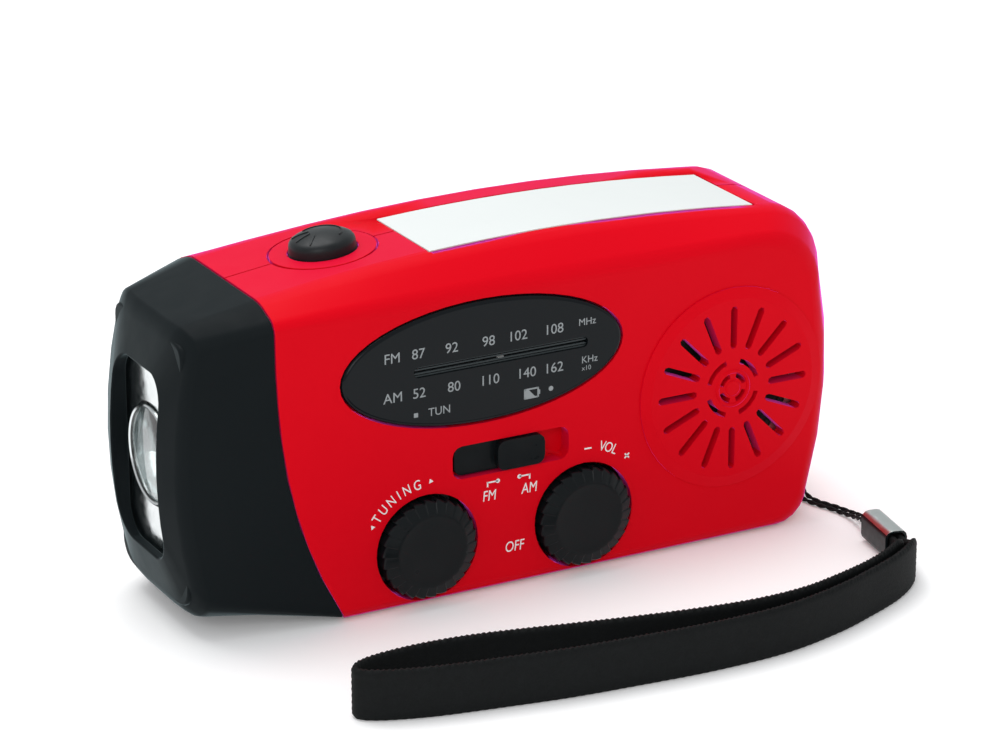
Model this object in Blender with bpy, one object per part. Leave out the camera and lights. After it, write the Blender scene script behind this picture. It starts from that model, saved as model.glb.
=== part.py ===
# Hand-cranked emergency radio with a torch nose, a solar panel and a wrist strap.
# Every sub-part is its own object. Metres, +Z up, dial face towards -Y, torch towards -X.
# The origin is the middle of the radio's footprint, on the surface that it stands on.

import math

import bmesh
import bpy
from mathutils import Vector

mm = 0.001

# Clearances, and the overrun that lets a cutter pass a face
gap = 0.3 * mm
overrun = 1.0 * mm

# Case; the places along it are given for this drawn length, and follow case_length
case_length = 129.0 * mm
drawn_length = 129.0
along = case_length / drawn_length
case_depth = 39.2 * mm
wall = 2.0 * mm
arch_top_z = 61.85 * mm
arch_peak_x = 8.0 * along
arch_radius = 379.0 * mm
face_top_z = 55.6 * mm
face_bottom_z = 0.6 * mm
face_side_inset = 4.0 * mm
chamfer_depth = 5.9 * mm
side_mid_z = 29.1 * mm
side_radius = 80.0 * mm
top_corner = 11.5 * mm
bottom_corner = 6.0 * mm
edge_round = 1.8 * mm
seam_top_x = -46.7 * along
seam_sweep = 12.5 * mm
seam_power = 2.7

# Nose cap with the torch window
tip_radius = 90.0 * mm
tip_mid_z = 29.1 * mm
tip_top_z = 54.5 * mm
tip_face_top_z = 52.6 * mm
tip_bottom_z = 3.1 * mm
tip_face_bottom_z = 6.3 * mm
tip_face_inset = 3.8 * mm
tip_chamfer_depth = 7.8 * mm
tip_plan_fall = 2.0 * mm
tip_plan_power = 1.5
tip_side_share = 0.09
tip_end_share = 0.3
corner_limit_share = 0.45
nose_wall = 2.0 * mm
window_width = 18.9 * mm
window_height = 33.0 * mm
window_mid_z = 28.9 * mm
window_corner = 3.0 * mm
end_wall = 3.4 * mm

# Torch
reflector_lip = 1.2 * mm
reflector_flange = 1.2 * mm
reflector_radius = 8.8 * mm
reflector_back_radius = 7.4 * mm
reflector_depth = 8.0 * mm
reflector_skin = 0.8 * mm
lens_radius = 8.4 * mm
lens_edge = 1.2 * mm
lens_crown = 0.9 * mm
lens_shoulder_share = 0.75
lens_flat_share = 0.3
crown_rise_share = 0.6
led_board_thick = 1.0 * mm
led_radius = 2.2 * mm
led_length = 4.6 * mm
led_circle = 3.9 * mm
led_count = 3
led_side_share = 0.65
led_shoulder_share = 0.7
led_dome_share = 0.92
led_flat_share = 0.25

# Torch button on the top, with its bezel and switch
button_x = -28.5 * along
bezel_length = 19.4 * mm
bezel_width = 18.0 * mm
bezel_groove = 0.35 * mm
button_length = 11.8 * mm
button_width = 10.6 * mm
button_skirt = 1.7 * mm
button_crown = 1.7 * mm
button_flange = 0.9 * mm
button_travel = 1.2 * mm
button_shoulder_share = 0.12
button_dome_share = 0.44
button_flat_share = 0.8
shoulder_rise_share = 0.45
dome_rise_share = 0.85
switch_side = 6.0 * mm
switch_corner = 0.6 * mm
switch_height = 3.4 * mm
plunger_radius = 1.7 * mm
plunger_height = 1.6 * mm
switch_board_length = 17.0 * mm
switch_board_width = 14.0 * mm
switch_board_thick = 1.2 * mm
shelf_thick = 1.6 * mm
shelf_reach_share = 0.2
shelf_spread_share = 0.36

# Solar panel on the top
solar_left_x = -14.6 * along
solar_right_x = 49.2 * along
solar_front = 7.2 * mm
solar_width = 19.8 * mm
solar_thick = 1.0 * mm
solar_ledge = 1.6 * mm
cell_board_thick = 0.9 * mm

# Dial
dial_x = -8.1 * along
dial_z = 42.7 * mm
dial_width = 53.6 * mm
dial_height = 21.8 * mm
dial_thick = 1.9 * mm
dial_proud = 0.4 * mm
dial_ledge = 1.2 * mm
dial_slot_length = 33.4 * mm
dial_slot_height = 1.9 * mm
dial_slot_rise = 0.2 * mm
dial_slot_corner = 0.85 * mm
dial_slot_x = -4.9 * along
pointer_width = 1.9 * mm
pointer_sunk = 0.5 * mm
scale_thick = 1.0 * mm
scale_margin = 1.0 * mm
scale_bottom_z = 29.0 * mm
cord_radius = 0.35 * mm
carriage_height = 3.2 * mm
carriage_width = 5.0 * mm
carriage_thick = 2.2 * mm
guide_radius = 1.2 * mm
guide_left_x = -26.0 * along
guide_right_x = 16.2 * along
guide_turn_x = -20.5 * along
guide_low_z = 34.6 * mm

# Tuning and volume knobs
tuning_x = -19.1 * along
volume_x = 11.4 * along
knob_z = 10.8 * mm
knob_radius = 9.1 * mm
knob_well_radius = 9.7 * mm
knob_proud = 2.1 * mm
knob_sunk = 1.9 * mm
knob_top_share = 0.73
knob_ridges = 26
knob_ridge_rise = 0.5 * mm
knob_ridge_share = 0.92
knob_rim_drop = 1.0 * mm
drum_radius = 6.2 * mm
drum_flange = 0.9 * mm
drum_lip = 0.36 * mm
drum_thick = 2.4 * mm
shaft_radius = 2.0 * mm
spigot_length = 2.2 * mm
capacitor_side = 14.0 * mm
capacitor_corner = 1.5 * mm
pot_radius = 7.5 * mm
pot_thick = 3.0 * mm
pot_back_radius = 4.5 * mm

# Band switch
slot_x = -2.9 * along
slot_z = 25.0 * mm
slot_length = 22.6 * mm
slot_height = 6.0 * mm
slot_corner = 1.8 * mm
slider_travel = 4.2 * mm
slider_room = 0.9 * mm
slider_length = slot_length - slider_travel - 2 * gap - slider_room
slider_thick = 1.4 * mm
slider_nub_length = 9.2 * mm
slider_nub_rise = 1.5 * mm
pocket_depth = 2.6 * mm
pocket_wall = 1.2 * mm
stem_width = 3.0 * mm
stem_height = 2.0 * mm
band_switch_length = 12.0 * mm
band_switch_height = 6.4 * mm
band_switch_depth = 5.0 * mm

# Speaker and its grille
speaker_x = 41.0 * along
speaker_z = 29.2 * mm
grille_radius = 18.5 * mm
grille_step = 0.25 * mm
grille_rise = 0.7 * mm
grille_bevel = 2.0 * mm
grille_slots = 16
grille_slot_start = 7.3 * mm
grille_slot_end = 15.2 * mm
grille_slot_width = 1.3 * mm
arc_slot_count = 4
outer_arc_radius = 5.0 * mm
inner_arc_radius = 2.35 * mm
arc_slot_width = 0.9 * mm
arc_sweep = math.radians(58)
speaker_radius = 16.2 * mm
speaker_rim = 1.5 * mm
speaker_depth = 9.0 * mm
basket_skin = 0.8 * mm
cone_radius = 13.0 * mm
cone_throat = 4.5 * mm
cone_depth = 4.5 * mm
cone_skin = 0.5 * mm
magnet_radius = 8.5 * mm
magnet_thick = 4.5 * mm

# Boards, aerial and battery
board_depth = 17.0 * mm
board_thick = 1.4 * mm
board_left_x = -27.5 * along
board_right_x = 20.5 * along
board_bottom_z = 3.0 * mm
board_top_z = 46.0 * mm
rod_radius = 3.0 * mm
rod_length = 50.0 * mm
rod_x = 20.0 * along
rod_z = 52.0 * mm
rod_clearance = 3.2 * mm
rod_saddle = 3.0 * mm
coil_radius = 3.8 * mm
coil_length = 14.0 * mm
cell_radius = 5.2 * mm
cell_length = 30.0 * mm
cell_left_x = -28.0 * along
cell_nub_radius = 1.9 * mm
cell_nub_length = 0.8 * mm

# Gearbox, dynamo and crank
gear_module = 0.5 * mm
mesh_clearance = 0.2 * mm
crank_teeth = 48
small_teeth = 12
large_teeth = 40
rotor_teeth = 10
gear_thick = 1.9 * mm
crank_x = 28.0 * along
crank_z = 31.0 * mm
compound_angle = math.radians(160)
rotor_angle = math.radians(165)
plate_thick = 1.3 * mm
plate_margin = 1.6 * mm
dynamo_radius = 8.5 * mm
dynamo_depth = 9.0 * mm
dynamo_plate_radius = 5.5 * mm
pillar_radius = 1.3 * mm
pillar_right_x = 43.4 * along
pillar_left_x = -6.1 * along
tooth_rise_share = 0.75
tooth_fall_share = 1.05
tooth_root_share = 0.24
tooth_tip_share = 0.1
axle_radius = 1.0 * mm
crank_shaft_radius = 2.5 * mm
crank_lift = 0.5 * mm
crank_thick = 4.7 * mm
crank_width = 9.4 * mm
crank_reach = 42.0 * mm
crank_hub_radius = 6.5 * mm
grip_radius = 2.2 * mm
grip_length = 22.0 * mm
grip_bore = 1.0 * mm
grip_waist = 1.9 * mm
grip_end = 2.0 * mm
grip_near_share = 0.3
grip_far_share = 0.75
knuckle_length = 5.0 * mm
knuckle_width = 3.4 * mm
crank_screw_radius = 2.2 * mm
crank_shaft_share = 0.45
fold_pin_radius = 0.7 * mm

# Sockets and their rubber flap on the right end
socket_depth = 25.0 * mm
usb_height = 13.0 * mm
usb_width = 5.6 * mm
usb_length = 13.0 * mm
usb_skin = 0.9 * mm
usb_mid_z = 26.0 * mm
charge_height = 7.6 * mm
charge_width = 3.0 * mm
charge_length = 6.0 * mm
charge_mid_z = 39.0 * mm
flap_height = 27.0 * mm
flap_width = 9.4 * mm
flap_thick = 0.8 * mm
flap_mid_z = 31.0 * mm
flap_sunk = 1.6 * mm
socket_mouth_share = 0.8

# Case screws, from the back into posts of the front shell
post_radius = 2.9 * mm
screw_radius = 1.3 * mm
screw_head_radius = 2.5 * mm
screw_head_height = 1.2 * mm
screw_crown_radius = 2.0 * mm
screw_sink = 0.3 * mm
screw_bite = 9.0 * mm
screw_places = (
    (52.0 * along, 46.5 * mm),
    (53.0 * along, 8.0 * mm),
    (-39.8 * along, 40.0 * mm),
    (-31.8 * along, 6.4 * mm),
)

# Strap: slots in the right end, thin cord, ferrule and webbing
strap_slot_width = 7.0 * mm
strap_slot_height = 2.4 * mm
strap_bar = 2.2 * mm
strap_bar_z = 8.6 * mm
strap_cord_radius = 0.45 * mm
webbing_width = 9.0 * mm
webbing_thick = 1.2 * mm
webbing_pinch = 3.8 * mm
webbing_pinch_low = 1.1 * mm
webbing_pinched = 2
webbing_spread = 5
ferrule_length = 10.4 * mm
ferrule_width = 4.2 * mm
ferrule_height = 5.6 * mm
ferrule_skin = 0.5 * mm
ferrule_corner = 1.4 * mm
ferrule_turn = math.radians(9.5)

# Places that follow from the sizes above
crank_proud = crank_lift + crank_thick
whole_depth = knob_proud + case_depth + crank_proud
front_y = knob_proud - whole_depth / 2
rear_y = front_y + case_depth
mid_y = front_y + case_depth / 2
right_x = case_length / 2
tip_x = -case_length / 2

X = Vector((1, 0, 0))
Y = Vector((0, 1, 0))
Z = Vector((0, 0, 1))
AXES = {"x": (Y, Z, X), "y": (X, Z, Y), "z": (X, Y, Z)}


# Small tools

def clear_scene():
    for old in list(bpy.data.objects):
        bpy.data.objects.remove(old, do_unlink=True)


def material(name, colour, roughness, metallic=0.0, alpha=1.0):
    made = bpy.data.materials.new(name)
    made.use_nodes = True
    shader = made.node_tree.nodes["Principled BSDF"]
    shader.inputs["Base Color"].default_value = (*colour, 1.0)
    shader.inputs["Roughness"].default_value = roughness
    shader.inputs["Metallic"].default_value = metallic
    shader.inputs["Alpha"].default_value = alpha
    return made


def new_object(name, vertices, faces, look=None, origin=(0, 0, 0), smooth=35):
    """Makes a closed mesh in world coordinates, with its object's origin where it turns or slides."""
    start = Vector(origin)
    mesh = bpy.data.meshes.new(name)
    shape = bmesh.new()
    made = [shape.verts.new(Vector(point) - start) for point in vertices]
    for face in faces:
        shape.faces.new([made[index] for index in face])
    bmesh.ops.recalc_face_normals(shape, faces=shape.faces)
    shape.to_mesh(mesh)
    shape.free()
    mesh.shade_smooth()
    mesh.set_sharp_from_angle(angle=math.radians(smooth))
    thing = bpy.data.objects.new(name, mesh)
    thing.location = start
    bpy.context.scene.collection.objects.link(thing)
    if look:
        mesh.materials.append(look)
    return thing


def ring_faces(count, rings, loop=False):
    """Joins rings of count points, with a cap on each end, or back to the first ring if loop."""
    faces = []
    last = rings if loop else rings - 1
    for ring in range(last):
        low = ring * count
        high = ((ring + 1) % rings) * count
        for step in range(count):
            after = (step + 1) % count
            faces.append((low + step, low + after, high + after, high + step))
    if not loop:
        faces.append(tuple(reversed(range(count))))
        faces.append(tuple(range((rings - 1) * count, rings * count)))
    return faces


def lofted(name, rings, look=None, loop=False, origin=(0, 0, 0), smooth=35):
    points = [point for ring in rings for point in ring]
    return new_object(name, points, ring_faces(len(rings[0]), len(rings), loop), look, origin, smooth)


def placed(outline, axis, centre, height):
    """Puts a flat outline across an axis at a height along it."""
    across, up, out = AXES[axis]
    base = Vector(centre)
    return [base + across * a + up * b + out * height for a, b in outline]


def prism(name, outline, axis, centre, low, high, look=None, origin=(0, 0, 0)):
    rings = [placed(outline, axis, centre, low), placed(outline, axis, centre, high)]
    return lofted(name, rings, look, origin=origin)


def circle(radius, count, turn=0.0):
    steps = [turn + 2 * math.pi * step / count for step in range(count)]
    return [(radius * math.cos(angle), radius * math.sin(angle)) for angle in steps]


def ellipse(length, width, count):
    steps = [2 * math.pi * step / count for step in range(count)]
    return [(length / 2 * math.cos(angle), width / 2 * math.sin(angle)) for angle in steps]


def rounded(width, height, radius, steps=3):
    """A rectangle round the middle with quarter-circle corners."""
    points = []
    corners = ((1, 1, 0), (-1, 1, 1), (-1, -1, 2), (1, -1, 3))
    for side, rise, quarter in corners:
        for step in range(steps + 1):
            angle = math.pi / 2 * (quarter + step / steps)
            across = side * (width / 2 - radius) + radius * math.cos(angle)
            up = rise * (height / 2 - radius) + radius * math.sin(angle)
            points.append((across, up))
    return points


def turned(name, profile, axis, centre, count, look=None, loop=False, origin=(0, 0, 0)):
    """Turns (radius, height) steps round an axis."""
    rings = [placed(circle(radius, count), axis, centre, height) for radius, height in profile]
    return lofted(name, rings, look, loop=loop, origin=origin)


def box(name, low, high, look=None, origin=(0, 0, 0)):
    corners = [(a, b) for a, b in ((0, 0), (1, 0), (1, 1), (0, 1))]
    rings = []
    for height in (low[2], high[2]):
        rings.append([(high[0] if a else low[0], high[1] if b else low[1], height) for a, b in corners])
    return lofted(name, rings, look, origin=origin)


def hide_cutter(cutter):
    cutter.hide_render = True
    cutter.display_type = "WIRE"
    return cutter


def combine(target, tool, operation):
    """Adds one live Boolean to the target."""
    step = target.modifiers.new(tool.name, "BOOLEAN")
    step.operation = operation
    step.solver = "EXACT"
    step.object = hide_cutter(tool)


def cut(target, *tools):
    for tool in tools:
        combine(target, tool, "DIFFERENCE")


def add(target, *tools):
    for tool in tools:
        combine(target, tool, "UNION")


def joined(name, pieces):
    """One cutter made of several that stand apart."""
    points = []
    faces = []
    for piece in pieces:
        start = len(points)
        points += [vertex.co + piece.location for vertex in piece.data.vertices]
        faces += [tuple(start + index for index in face.vertices) for face in piece.data.polygons]
        bpy.data.objects.remove(piece, do_unlink=True)
    return new_object(name, points, faces)


# The case's outer form

def arch_z(x):
    return arch_top_z - (x - arch_peak_x) ** 2 / (2 * arch_radius)


def seam_x(z):
    share = min(max((face_top_z - z) / face_top_z, 0.0), 1.0)
    return seam_top_x + seam_sweep * share ** seam_power


def side_x(z):
    return right_x - (z - side_mid_z) ** 2 / (2 * side_radius)


def conic(start, corner, end, steps):
    """A round corner between two tangents."""
    weight = math.sqrt(0.5)
    points = []
    for step in range(1, steps):
        t = step / steps
        a, b, c = (1 - t) ** 2, 2 * t * (1 - t) * weight, t * t
        total = a + b + c
        points.append(tuple((a * p + b * q + c * r) / total for p, q, r in zip(start, corner, end)))
    return points


def spread(start, end, steps):
    return [start + (end - start) * step / steps for step in range(steps + 1)]


def case_outline(top_z, bottom_z, inset):
    """Counterclockwise from the front: bottom, right corner, side, top corner, top, seam."""
    low_z = bottom_z + bottom_corner
    low_x = side_x(low_z) - inset
    peak_x = side_x(face_top_z) - inset
    high_z = top_z(peak_x - top_corner) - top_corner
    high_x = side_x(high_z) - inset
    turn_x = high_x - top_corner
    points = [(x, bottom_z) for x in spread(seam_x(bottom_z), low_x - bottom_corner, 4)]
    points += conic(points[-1], (low_x, bottom_z), (low_x, low_z), 5)
    points += [(side_x(z) - inset, z) for z in spread(low_z, high_z, 4)]
    points += conic(points[-1], (high_x, top_z(turn_x)), (turn_x, top_z(turn_x)), 7)
    points += [(x, top_z(x)) for x in spread(turn_x, seam_top_x, 9)]
    seam = spread(top_z(seam_top_x), bottom_z, 8)[1:-1]
    return points + [(seam_x(z), z) for z in seam]


def inset_outline(points, distance):
    """Moves each edge of a counterclockwise outline inward by the same distance."""
    made = []
    count = len(points)
    for index in range(count):
        before = Vector(points[index - 1])
        here = Vector(points[index])
        after = Vector(points[(index + 1) % count])
        first = (here - before).normalized()
        second = (after - here).normalized()
        normal = Vector((-first.y - second.y, first.x + second.x)).normalized()
        along = max(normal.dot(Vector((-first.y, first.x))), 0.5)
        made.append(tuple(here + normal * (distance / along)))
    return made


def section(share, shift):
    """An outline between the case's middle (share 0) and its face (share 1), shifted inward."""
    return case_outline(lambda x: arch_z(x) + (face_top_z - arch_z(x)) * share - shift,
                        face_bottom_z * share + shift, face_side_inset * share + shift)


def case_shell(name, side, look):
    """One half of the case as an open tray: side -1 is the front shell, 1 the rear one."""
    middle = section(0.0, 0.0)
    face = section(1.0, 0.0)
    half = case_depth / 2
    low = half - chamfer_depth
    turn = edge_round / math.hypot(chamfer_depth, face_side_inset)
    lower = (0.0, 0.0, low - edge_round)
    slope_start = (turn, 0.0, low + turn * chamfer_depth)
    slope_end = (1 - turn, 0.0, half - turn * chamfer_depth)
    upper = (1.0, edge_round, half)
    profile = [(0.0, 0.0, gap / 2), lower]
    profile += conic(lower, (0.0, 0.0, low), slope_start, 4)
    profile += [slope_start, slope_end]
    profile += conic(slope_end, (1.0, 0.0, half), upper, 4)
    profile.append(upper)
    steps = [
        (inset_outline(face, wall), half - wall),
        (inset_outline(middle, wall), low),
        (inset_outline(middle, wall), gap / 2),
    ]
    steps += [(section(share, shift), distance) for share, shift, distance in profile]
    rings = [[(x, mid_y + side * distance, z) for x, z in outline] for outline, distance in steps]
    return lofted(name, rings, look)


# The nose cap, a tapered tube with the torch window in its end

def end_x(y, z):
    """The cap's convex end, which falls back beside the window."""
    beside = max(abs(y - mid_y) - window_width / 2, 0.0)
    reach = case_depth / 2 - tip_face_inset - window_width / 2
    rise = (z - tip_mid_z) ** 2 / (2 * tip_radius)
    return tip_x + rise + tip_plan_fall * (beside / reach) ** tip_plan_power


def chamfered(face_inset, chamfer, face_low, face_high, low, high):
    """A ring of 24 points round a section with four chamfered edges, from the front bottom."""
    half = case_depth / 2
    flat = half - chamfer
    side = half - face_inset
    ring = [(mid_y - side, z) for z in spread(face_low, face_high, 6)]
    ring += [(mid_y + y, high) for y in spread(-flat, flat, 4)]
    ring += [(mid_y + side, z) for z in spread(face_high, face_low, 6)]
    ring += [(mid_y + y, low) for y in spread(flat, -flat, 4)]
    return ring


def softened(ring):
    """Rounds the eight corners of a section of 24 points, the same way in each ring."""
    made = []
    for index, point in enumerate(ring):
        if index not in (0, 6, 7, 11, 12, 18, 19, 23):
            made.append(tuple(point))
            continue
        here = Vector(point)
        ends = []
        for other in (ring[index - 1], ring[(index + 1) % len(ring)]):
            away = Vector(other) - here
            ends.append(tuple(here + away * min(edge_round / away.length, corner_limit_share)))
        made += [ends[0]] + conic(ends[0], point, ends[1], 3) + [ends[1]]
    return made


def seam_ring(shrink, back=0.0):
    """The cap's section where it meets the case, shrunk by a wall."""
    ring = chamfered(shrink, chamfer_depth + shrink / 2, face_bottom_z + shrink,
                     face_top_z - shrink / 2, shrink, arch_z(seam_top_x) - shrink)
    return softened([(seam_x(z) - back, y, z) for y, z in ring])


def tip_ring(shrink):
    ring = chamfered(tip_face_inset + shrink, tip_chamfer_depth + shrink / 2, tip_face_bottom_z + shrink / 2,
                     tip_face_top_z - shrink / 2, tip_bottom_z + shrink, tip_top_z - shrink)
    return softened([(end_x(y, z), y, z) for y, z in ring])


def window_ring(width, height, x=None):
    """A rounded rectangle with as many points as the cap's section."""
    flat = width / 2 - window_corner
    tall = height / 2 - window_corner
    ring = [(mid_y - width / 2, window_mid_z + z) for z in spread(-tall, tall, 6)]
    ring += [(mid_y + y, window_mid_z + height / 2) for y in spread(-flat, flat, 4)]
    ring += [(mid_y + width / 2, window_mid_z + z) for z in spread(tall, -tall, 6)]
    ring += [(mid_y + y, window_mid_z - height / 2) for y in spread(flat, -flat, 4)]
    return softened([(end_x(y, z) if x is None else x, y, z) for y, z in ring])


def between(first, second, share):
    return [tuple(Vector(a).lerp(Vector(b), share)) for a, b in zip(first, second)]


def make_nose_cap(look):
    outer_seam = seam_ring(0.0, gap)
    outer_tip = tip_ring(0.0)
    wall_x = tip_x + end_wall
    inner_seam = seam_ring(nose_wall, gap)
    inner_tip = [(wall_x, y, z) for x, y, z in tip_ring(nose_wall)]
    window = window_ring(window_width, window_height)
    side_end = between(outer_tip, outer_seam, tip_side_share)
    end_start = between(outer_tip, window, tip_end_share)
    rounding = [conic(start, corner, end, 4) for start, corner, end in zip(side_end, outer_tip, end_start)]
    rings = [outer_seam, between(outer_seam, outer_tip, 0.5), side_end]
    rings += [list(ring) for ring in zip(*rounding)]
    rings += [
        end_start,
        window,
        window_ring(window_width, window_height, wall_x),
        inner_tip,
        inner_seam,
    ]
    return lofted("nose_cap", rings, look, loop=True, smooth=25)


# The torch behind the window

def make_torch(silver, clear, board, warm):
    flange_x = tip_x + end_wall + gap
    width = window_width + 2 * reflector_lip
    height = window_height + 2 * reflector_lip
    plate_back = flange_x + reflector_flange
    centre = (0, mid_y, window_mid_z)
    plate = rounded(width, height, window_corner)
    flange = prism("reflector", plate, "x", centre, flange_x, plate_back, silver)
    back_x = plate_back + reflector_depth
    bowl = turned("reflector_bowl", (
        (reflector_radius, plate_back - overrun / 2),
        (reflector_back_radius, back_x),
        (reflector_back_radius + reflector_skin, back_x),
        (reflector_radius + reflector_skin, plate_back - overrun / 2),
    ), "x", centre, 32, loop=True)
    hole = turned("reflector_hole", (
        (reflector_radius + reflector_skin / 2, flange_x - overrun),
        (reflector_radius + reflector_skin / 2, plate_back + overrun),
    ), "x", centre, 32)
    cut(flange, hole)
    add(flange, bowl)
    lens_back = flange_x + gap
    turned("torch_lens", (
        (lens_radius, lens_back + lens_edge),
        (lens_radius, lens_back),
        (lens_radius * lens_shoulder_share, lens_back - lens_crown * crown_rise_share),
        (lens_radius * lens_flat_share, lens_back - lens_crown),
    ), "x", centre, 28, clear)
    board_x = back_x + gap
    turned("led_board", (
        (reflector_back_radius + reflector_skin, board_x),
        (reflector_back_radius + reflector_skin, board_x + led_board_thick),
    ), "x", centre, 24, board)
    for number in range(led_count):
        angle = math.pi / 2 + 2 * math.pi * number / led_count
        place = (0, mid_y + led_circle * math.cos(angle), window_mid_z + led_circle * math.sin(angle))
        turned(f"led_{number + 1}", (
            (led_radius, board_x - gap),
            (led_radius, board_x - led_length * led_side_share),
            (led_radius * led_shoulder_share, board_x - led_length * led_dome_share),
            (led_radius * led_flat_share, board_x - led_length),
        ), "x", place, 12, warm)


# The torch button, its bezel and the switch under it

button_slope = math.atan2(arch_peak_x - button_x, arch_radius)
button_z = arch_z(button_x)


def tilted(outline, height):
    """A flat outline on the sloping top at the button, at a height above the surface."""
    across = Vector((math.cos(button_slope), 0, math.sin(button_slope)))
    up = Vector((-math.sin(button_slope), 0, math.cos(button_slope)))
    base = Vector((button_x, mid_y, button_z))
    return [base + across * a + Y * b + up * height for a, b in outline]


def oval(length, width, grow, count=24):
    return ellipse(length + 2 * grow, width + 2 * grow, count)


def make_torch_button(red, rubber, black, board, shells):
    hole = lofted("bezel_hole", [
        tilted(oval(bezel_length, bezel_width, 0, 32), -wall - overrun - chamfer_depth / 2),
        tilted(oval(bezel_length, bezel_width, 0, 32), overrun),
    ])
    for shell in shells:
        cut(shell, hole)
    lofted("button_bezel", [
        tilted(oval(bezel_length, bezel_width, -bezel_groove, 32), 0),
        tilted(oval(bezel_length, bezel_width, -bezel_groove, 32), -wall),
        tilted(oval(button_length, button_width, gap, 32), -wall),
        tilted(oval(button_length, button_width, gap, 32), 0),
    ], red, loop=True)
    flange_top = -wall - gap
    flange_low = flange_top - button_flange - button_travel / 2
    crown = button_skirt + button_crown
    half = button_width / 2
    pivot = (button_x, mid_y, button_z)
    lofted("torch_button", [
        tilted(oval(button_length, button_width, button_flange), flange_low),
        tilted(oval(button_length, button_width, button_flange), flange_top),
        tilted(oval(button_length, button_width, 0), flange_top),
        tilted(oval(button_length, button_width, 0), button_skirt),
        tilted(oval(button_length, button_width, -half * button_shoulder_share),
               button_skirt + button_crown * shoulder_rise_share),
        tilted(oval(button_length, button_width, -half * button_dome_share),
               button_skirt + button_crown * dome_rise_share),
        tilted(oval(button_length, button_width, -half * button_flat_share), crown),
    ], rubber, origin=pivot, smooth=50)
    plunger_top = flange_low - gap
    body_top = plunger_top - plunger_height
    lofted("torch_switch_plunger", [
        tilted(circle(plunger_radius, 12), plunger_top),
        tilted(circle(plunger_radius, 12), body_top - 2 * gap),
    ], black, origin=pivot)
    body_low = body_top - switch_height
    square = rounded(switch_side, switch_side, switch_corner, 1)
    body = lofted("torch_switch", [tilted(square, body_low), tilted(square, body_top)], black)
    well = lofted("plunger_well", [
        tilted(circle(plunger_radius + gap, 12), body_top + overrun),
        tilted(circle(plunger_radius + gap, 12), body_top - button_travel - 3 * gap),
    ])
    cut(body, well)
    plate = rounded(switch_board_length, switch_board_width, switch_board_thick, 1)
    lofted("switch_board", [
        tilted(plate, body_low - gap),
        tilted(plate, body_low - gap - switch_board_thick),
    ], board)
    shelf_top = body_low - 2 * gap - switch_board_thick
    near = switch_board_width * shelf_reach_share
    far = rear_y - wall / 2 - mid_y
    blocks = []
    for number, across in enumerate((-1, 1)):
        left = across * switch_board_length * shelf_spread_share - shelf_thick
        right = left + 2 * shelf_thick
        corners = [(left, near), (right, near), (right, far), (left, far)]
        blocks.append(lofted(f"shelf_{number}", [
            tilted(corners, shelf_top - shelf_thick),
            tilted(corners, shelf_top),
        ]))
    add(shells[1], *blocks)


# The solar panel in its recess

def arch_strip(left, right, front, rear, lift, thick, steps=10):
    """A curved slab that follows the arch: its top is lift above the surface."""
    rings = []
    for x in spread(left, right, steps):
        top = arch_z(x) + lift
        rings.append([(x, front, top), (x, rear, top), (x, rear, top - thick), (x, front, top - thick)])
    return rings


def make_solar_panel(glass, cells, shells):
    front = front_y + solar_front
    rear = front + solar_width
    depth = solar_thick + gap
    recess = lofted("solar_recess", arch_strip(
        solar_left_x - gap, solar_right_x + gap, front - gap, rear + gap, overrun, depth + overrun))
    window = lofted("solar_window", arch_strip(
        solar_left_x + solar_ledge, solar_right_x - solar_ledge, front + solar_ledge, rear - solar_ledge,
        0.0, wall + overrun + gap))
    for shell in shells:
        cut(shell, recess, window)
    lofted("solar_cover", arch_strip(solar_left_x, solar_right_x, front, rear, 0.0, solar_thick), glass)
    inside = solar_ledge + gap
    lofted("solar_cells", arch_strip(
        solar_left_x + inside, solar_right_x - inside, front + inside, rear - inside,
        -solar_thick - gap, cell_board_thick), cells)


# The dial: lens, scale board, pointer carriage and its cord

def belt(wheels):
    """The closed line of a cord round wheels (x, z, radius, turn), where turn 1 is counterclockwise."""
    ends = []
    for index, wheel in enumerate(wheels):
        following = wheels[(index + 1) % len(wheels)]
        here = Vector(wheel[:2])
        there = Vector(following[:2])
        toward = (there - here).normalized()
        left = Vector((-toward.y, toward.x))
        lean = (following[2] * following[3] - wheel[2] * wheel[3]) / (there - here).length
        normal = toward * lean + left * math.sqrt(1 - lean ** 2)
        ends.append((here - normal * wheel[2] * wheel[3], there - normal * following[2] * following[3]))
    points = []
    for index, wheel in enumerate(wheels):
        centre = Vector(wheel[:2])
        arrive = ends[index - 1][1] - centre
        leave = ends[index][0] - centre
        start = math.atan2(arrive.y, arrive.x)
        sweep = (math.atan2(leave.y, leave.x) - start) * wheel[3] % (2 * math.pi)
        steps = max(2, round(sweep / math.radians(30)))
        for step in range(steps + 1):
            angle = start + wheel[3] * sweep * step / steps
            points.append((centre.x + wheel[2] * math.cos(angle), centre.y + wheel[2] * math.sin(angle)))
    return points


def closed_tube(name, path, depth_y, radius, look, sides=6):
    """A round cord along a closed flat path in the plane y = depth_y."""
    rings = []
    count = len(path)
    for index in range(count):
        before = Vector(path[index - 1])
        after = Vector(path[(index + 1) % count])
        along = (after - before).normalized()
        out = Vector((along.y, 0, -along.x))
        base = Vector((path[index][0], depth_y, path[index][1]))
        ring = []
        for a, b in circle(radius, sides):
            ring.append(base + out * a + Y * b)
        rings.append(ring)
    return lofted(name, rings, look, loop=True)


carriage_y = front_y + wall + gap
cord_y = carriage_y + carriage_thick / 2
scale_y = carriage_y + carriage_thick + gap
pointer_z = dial_z + dial_slot_rise


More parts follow.
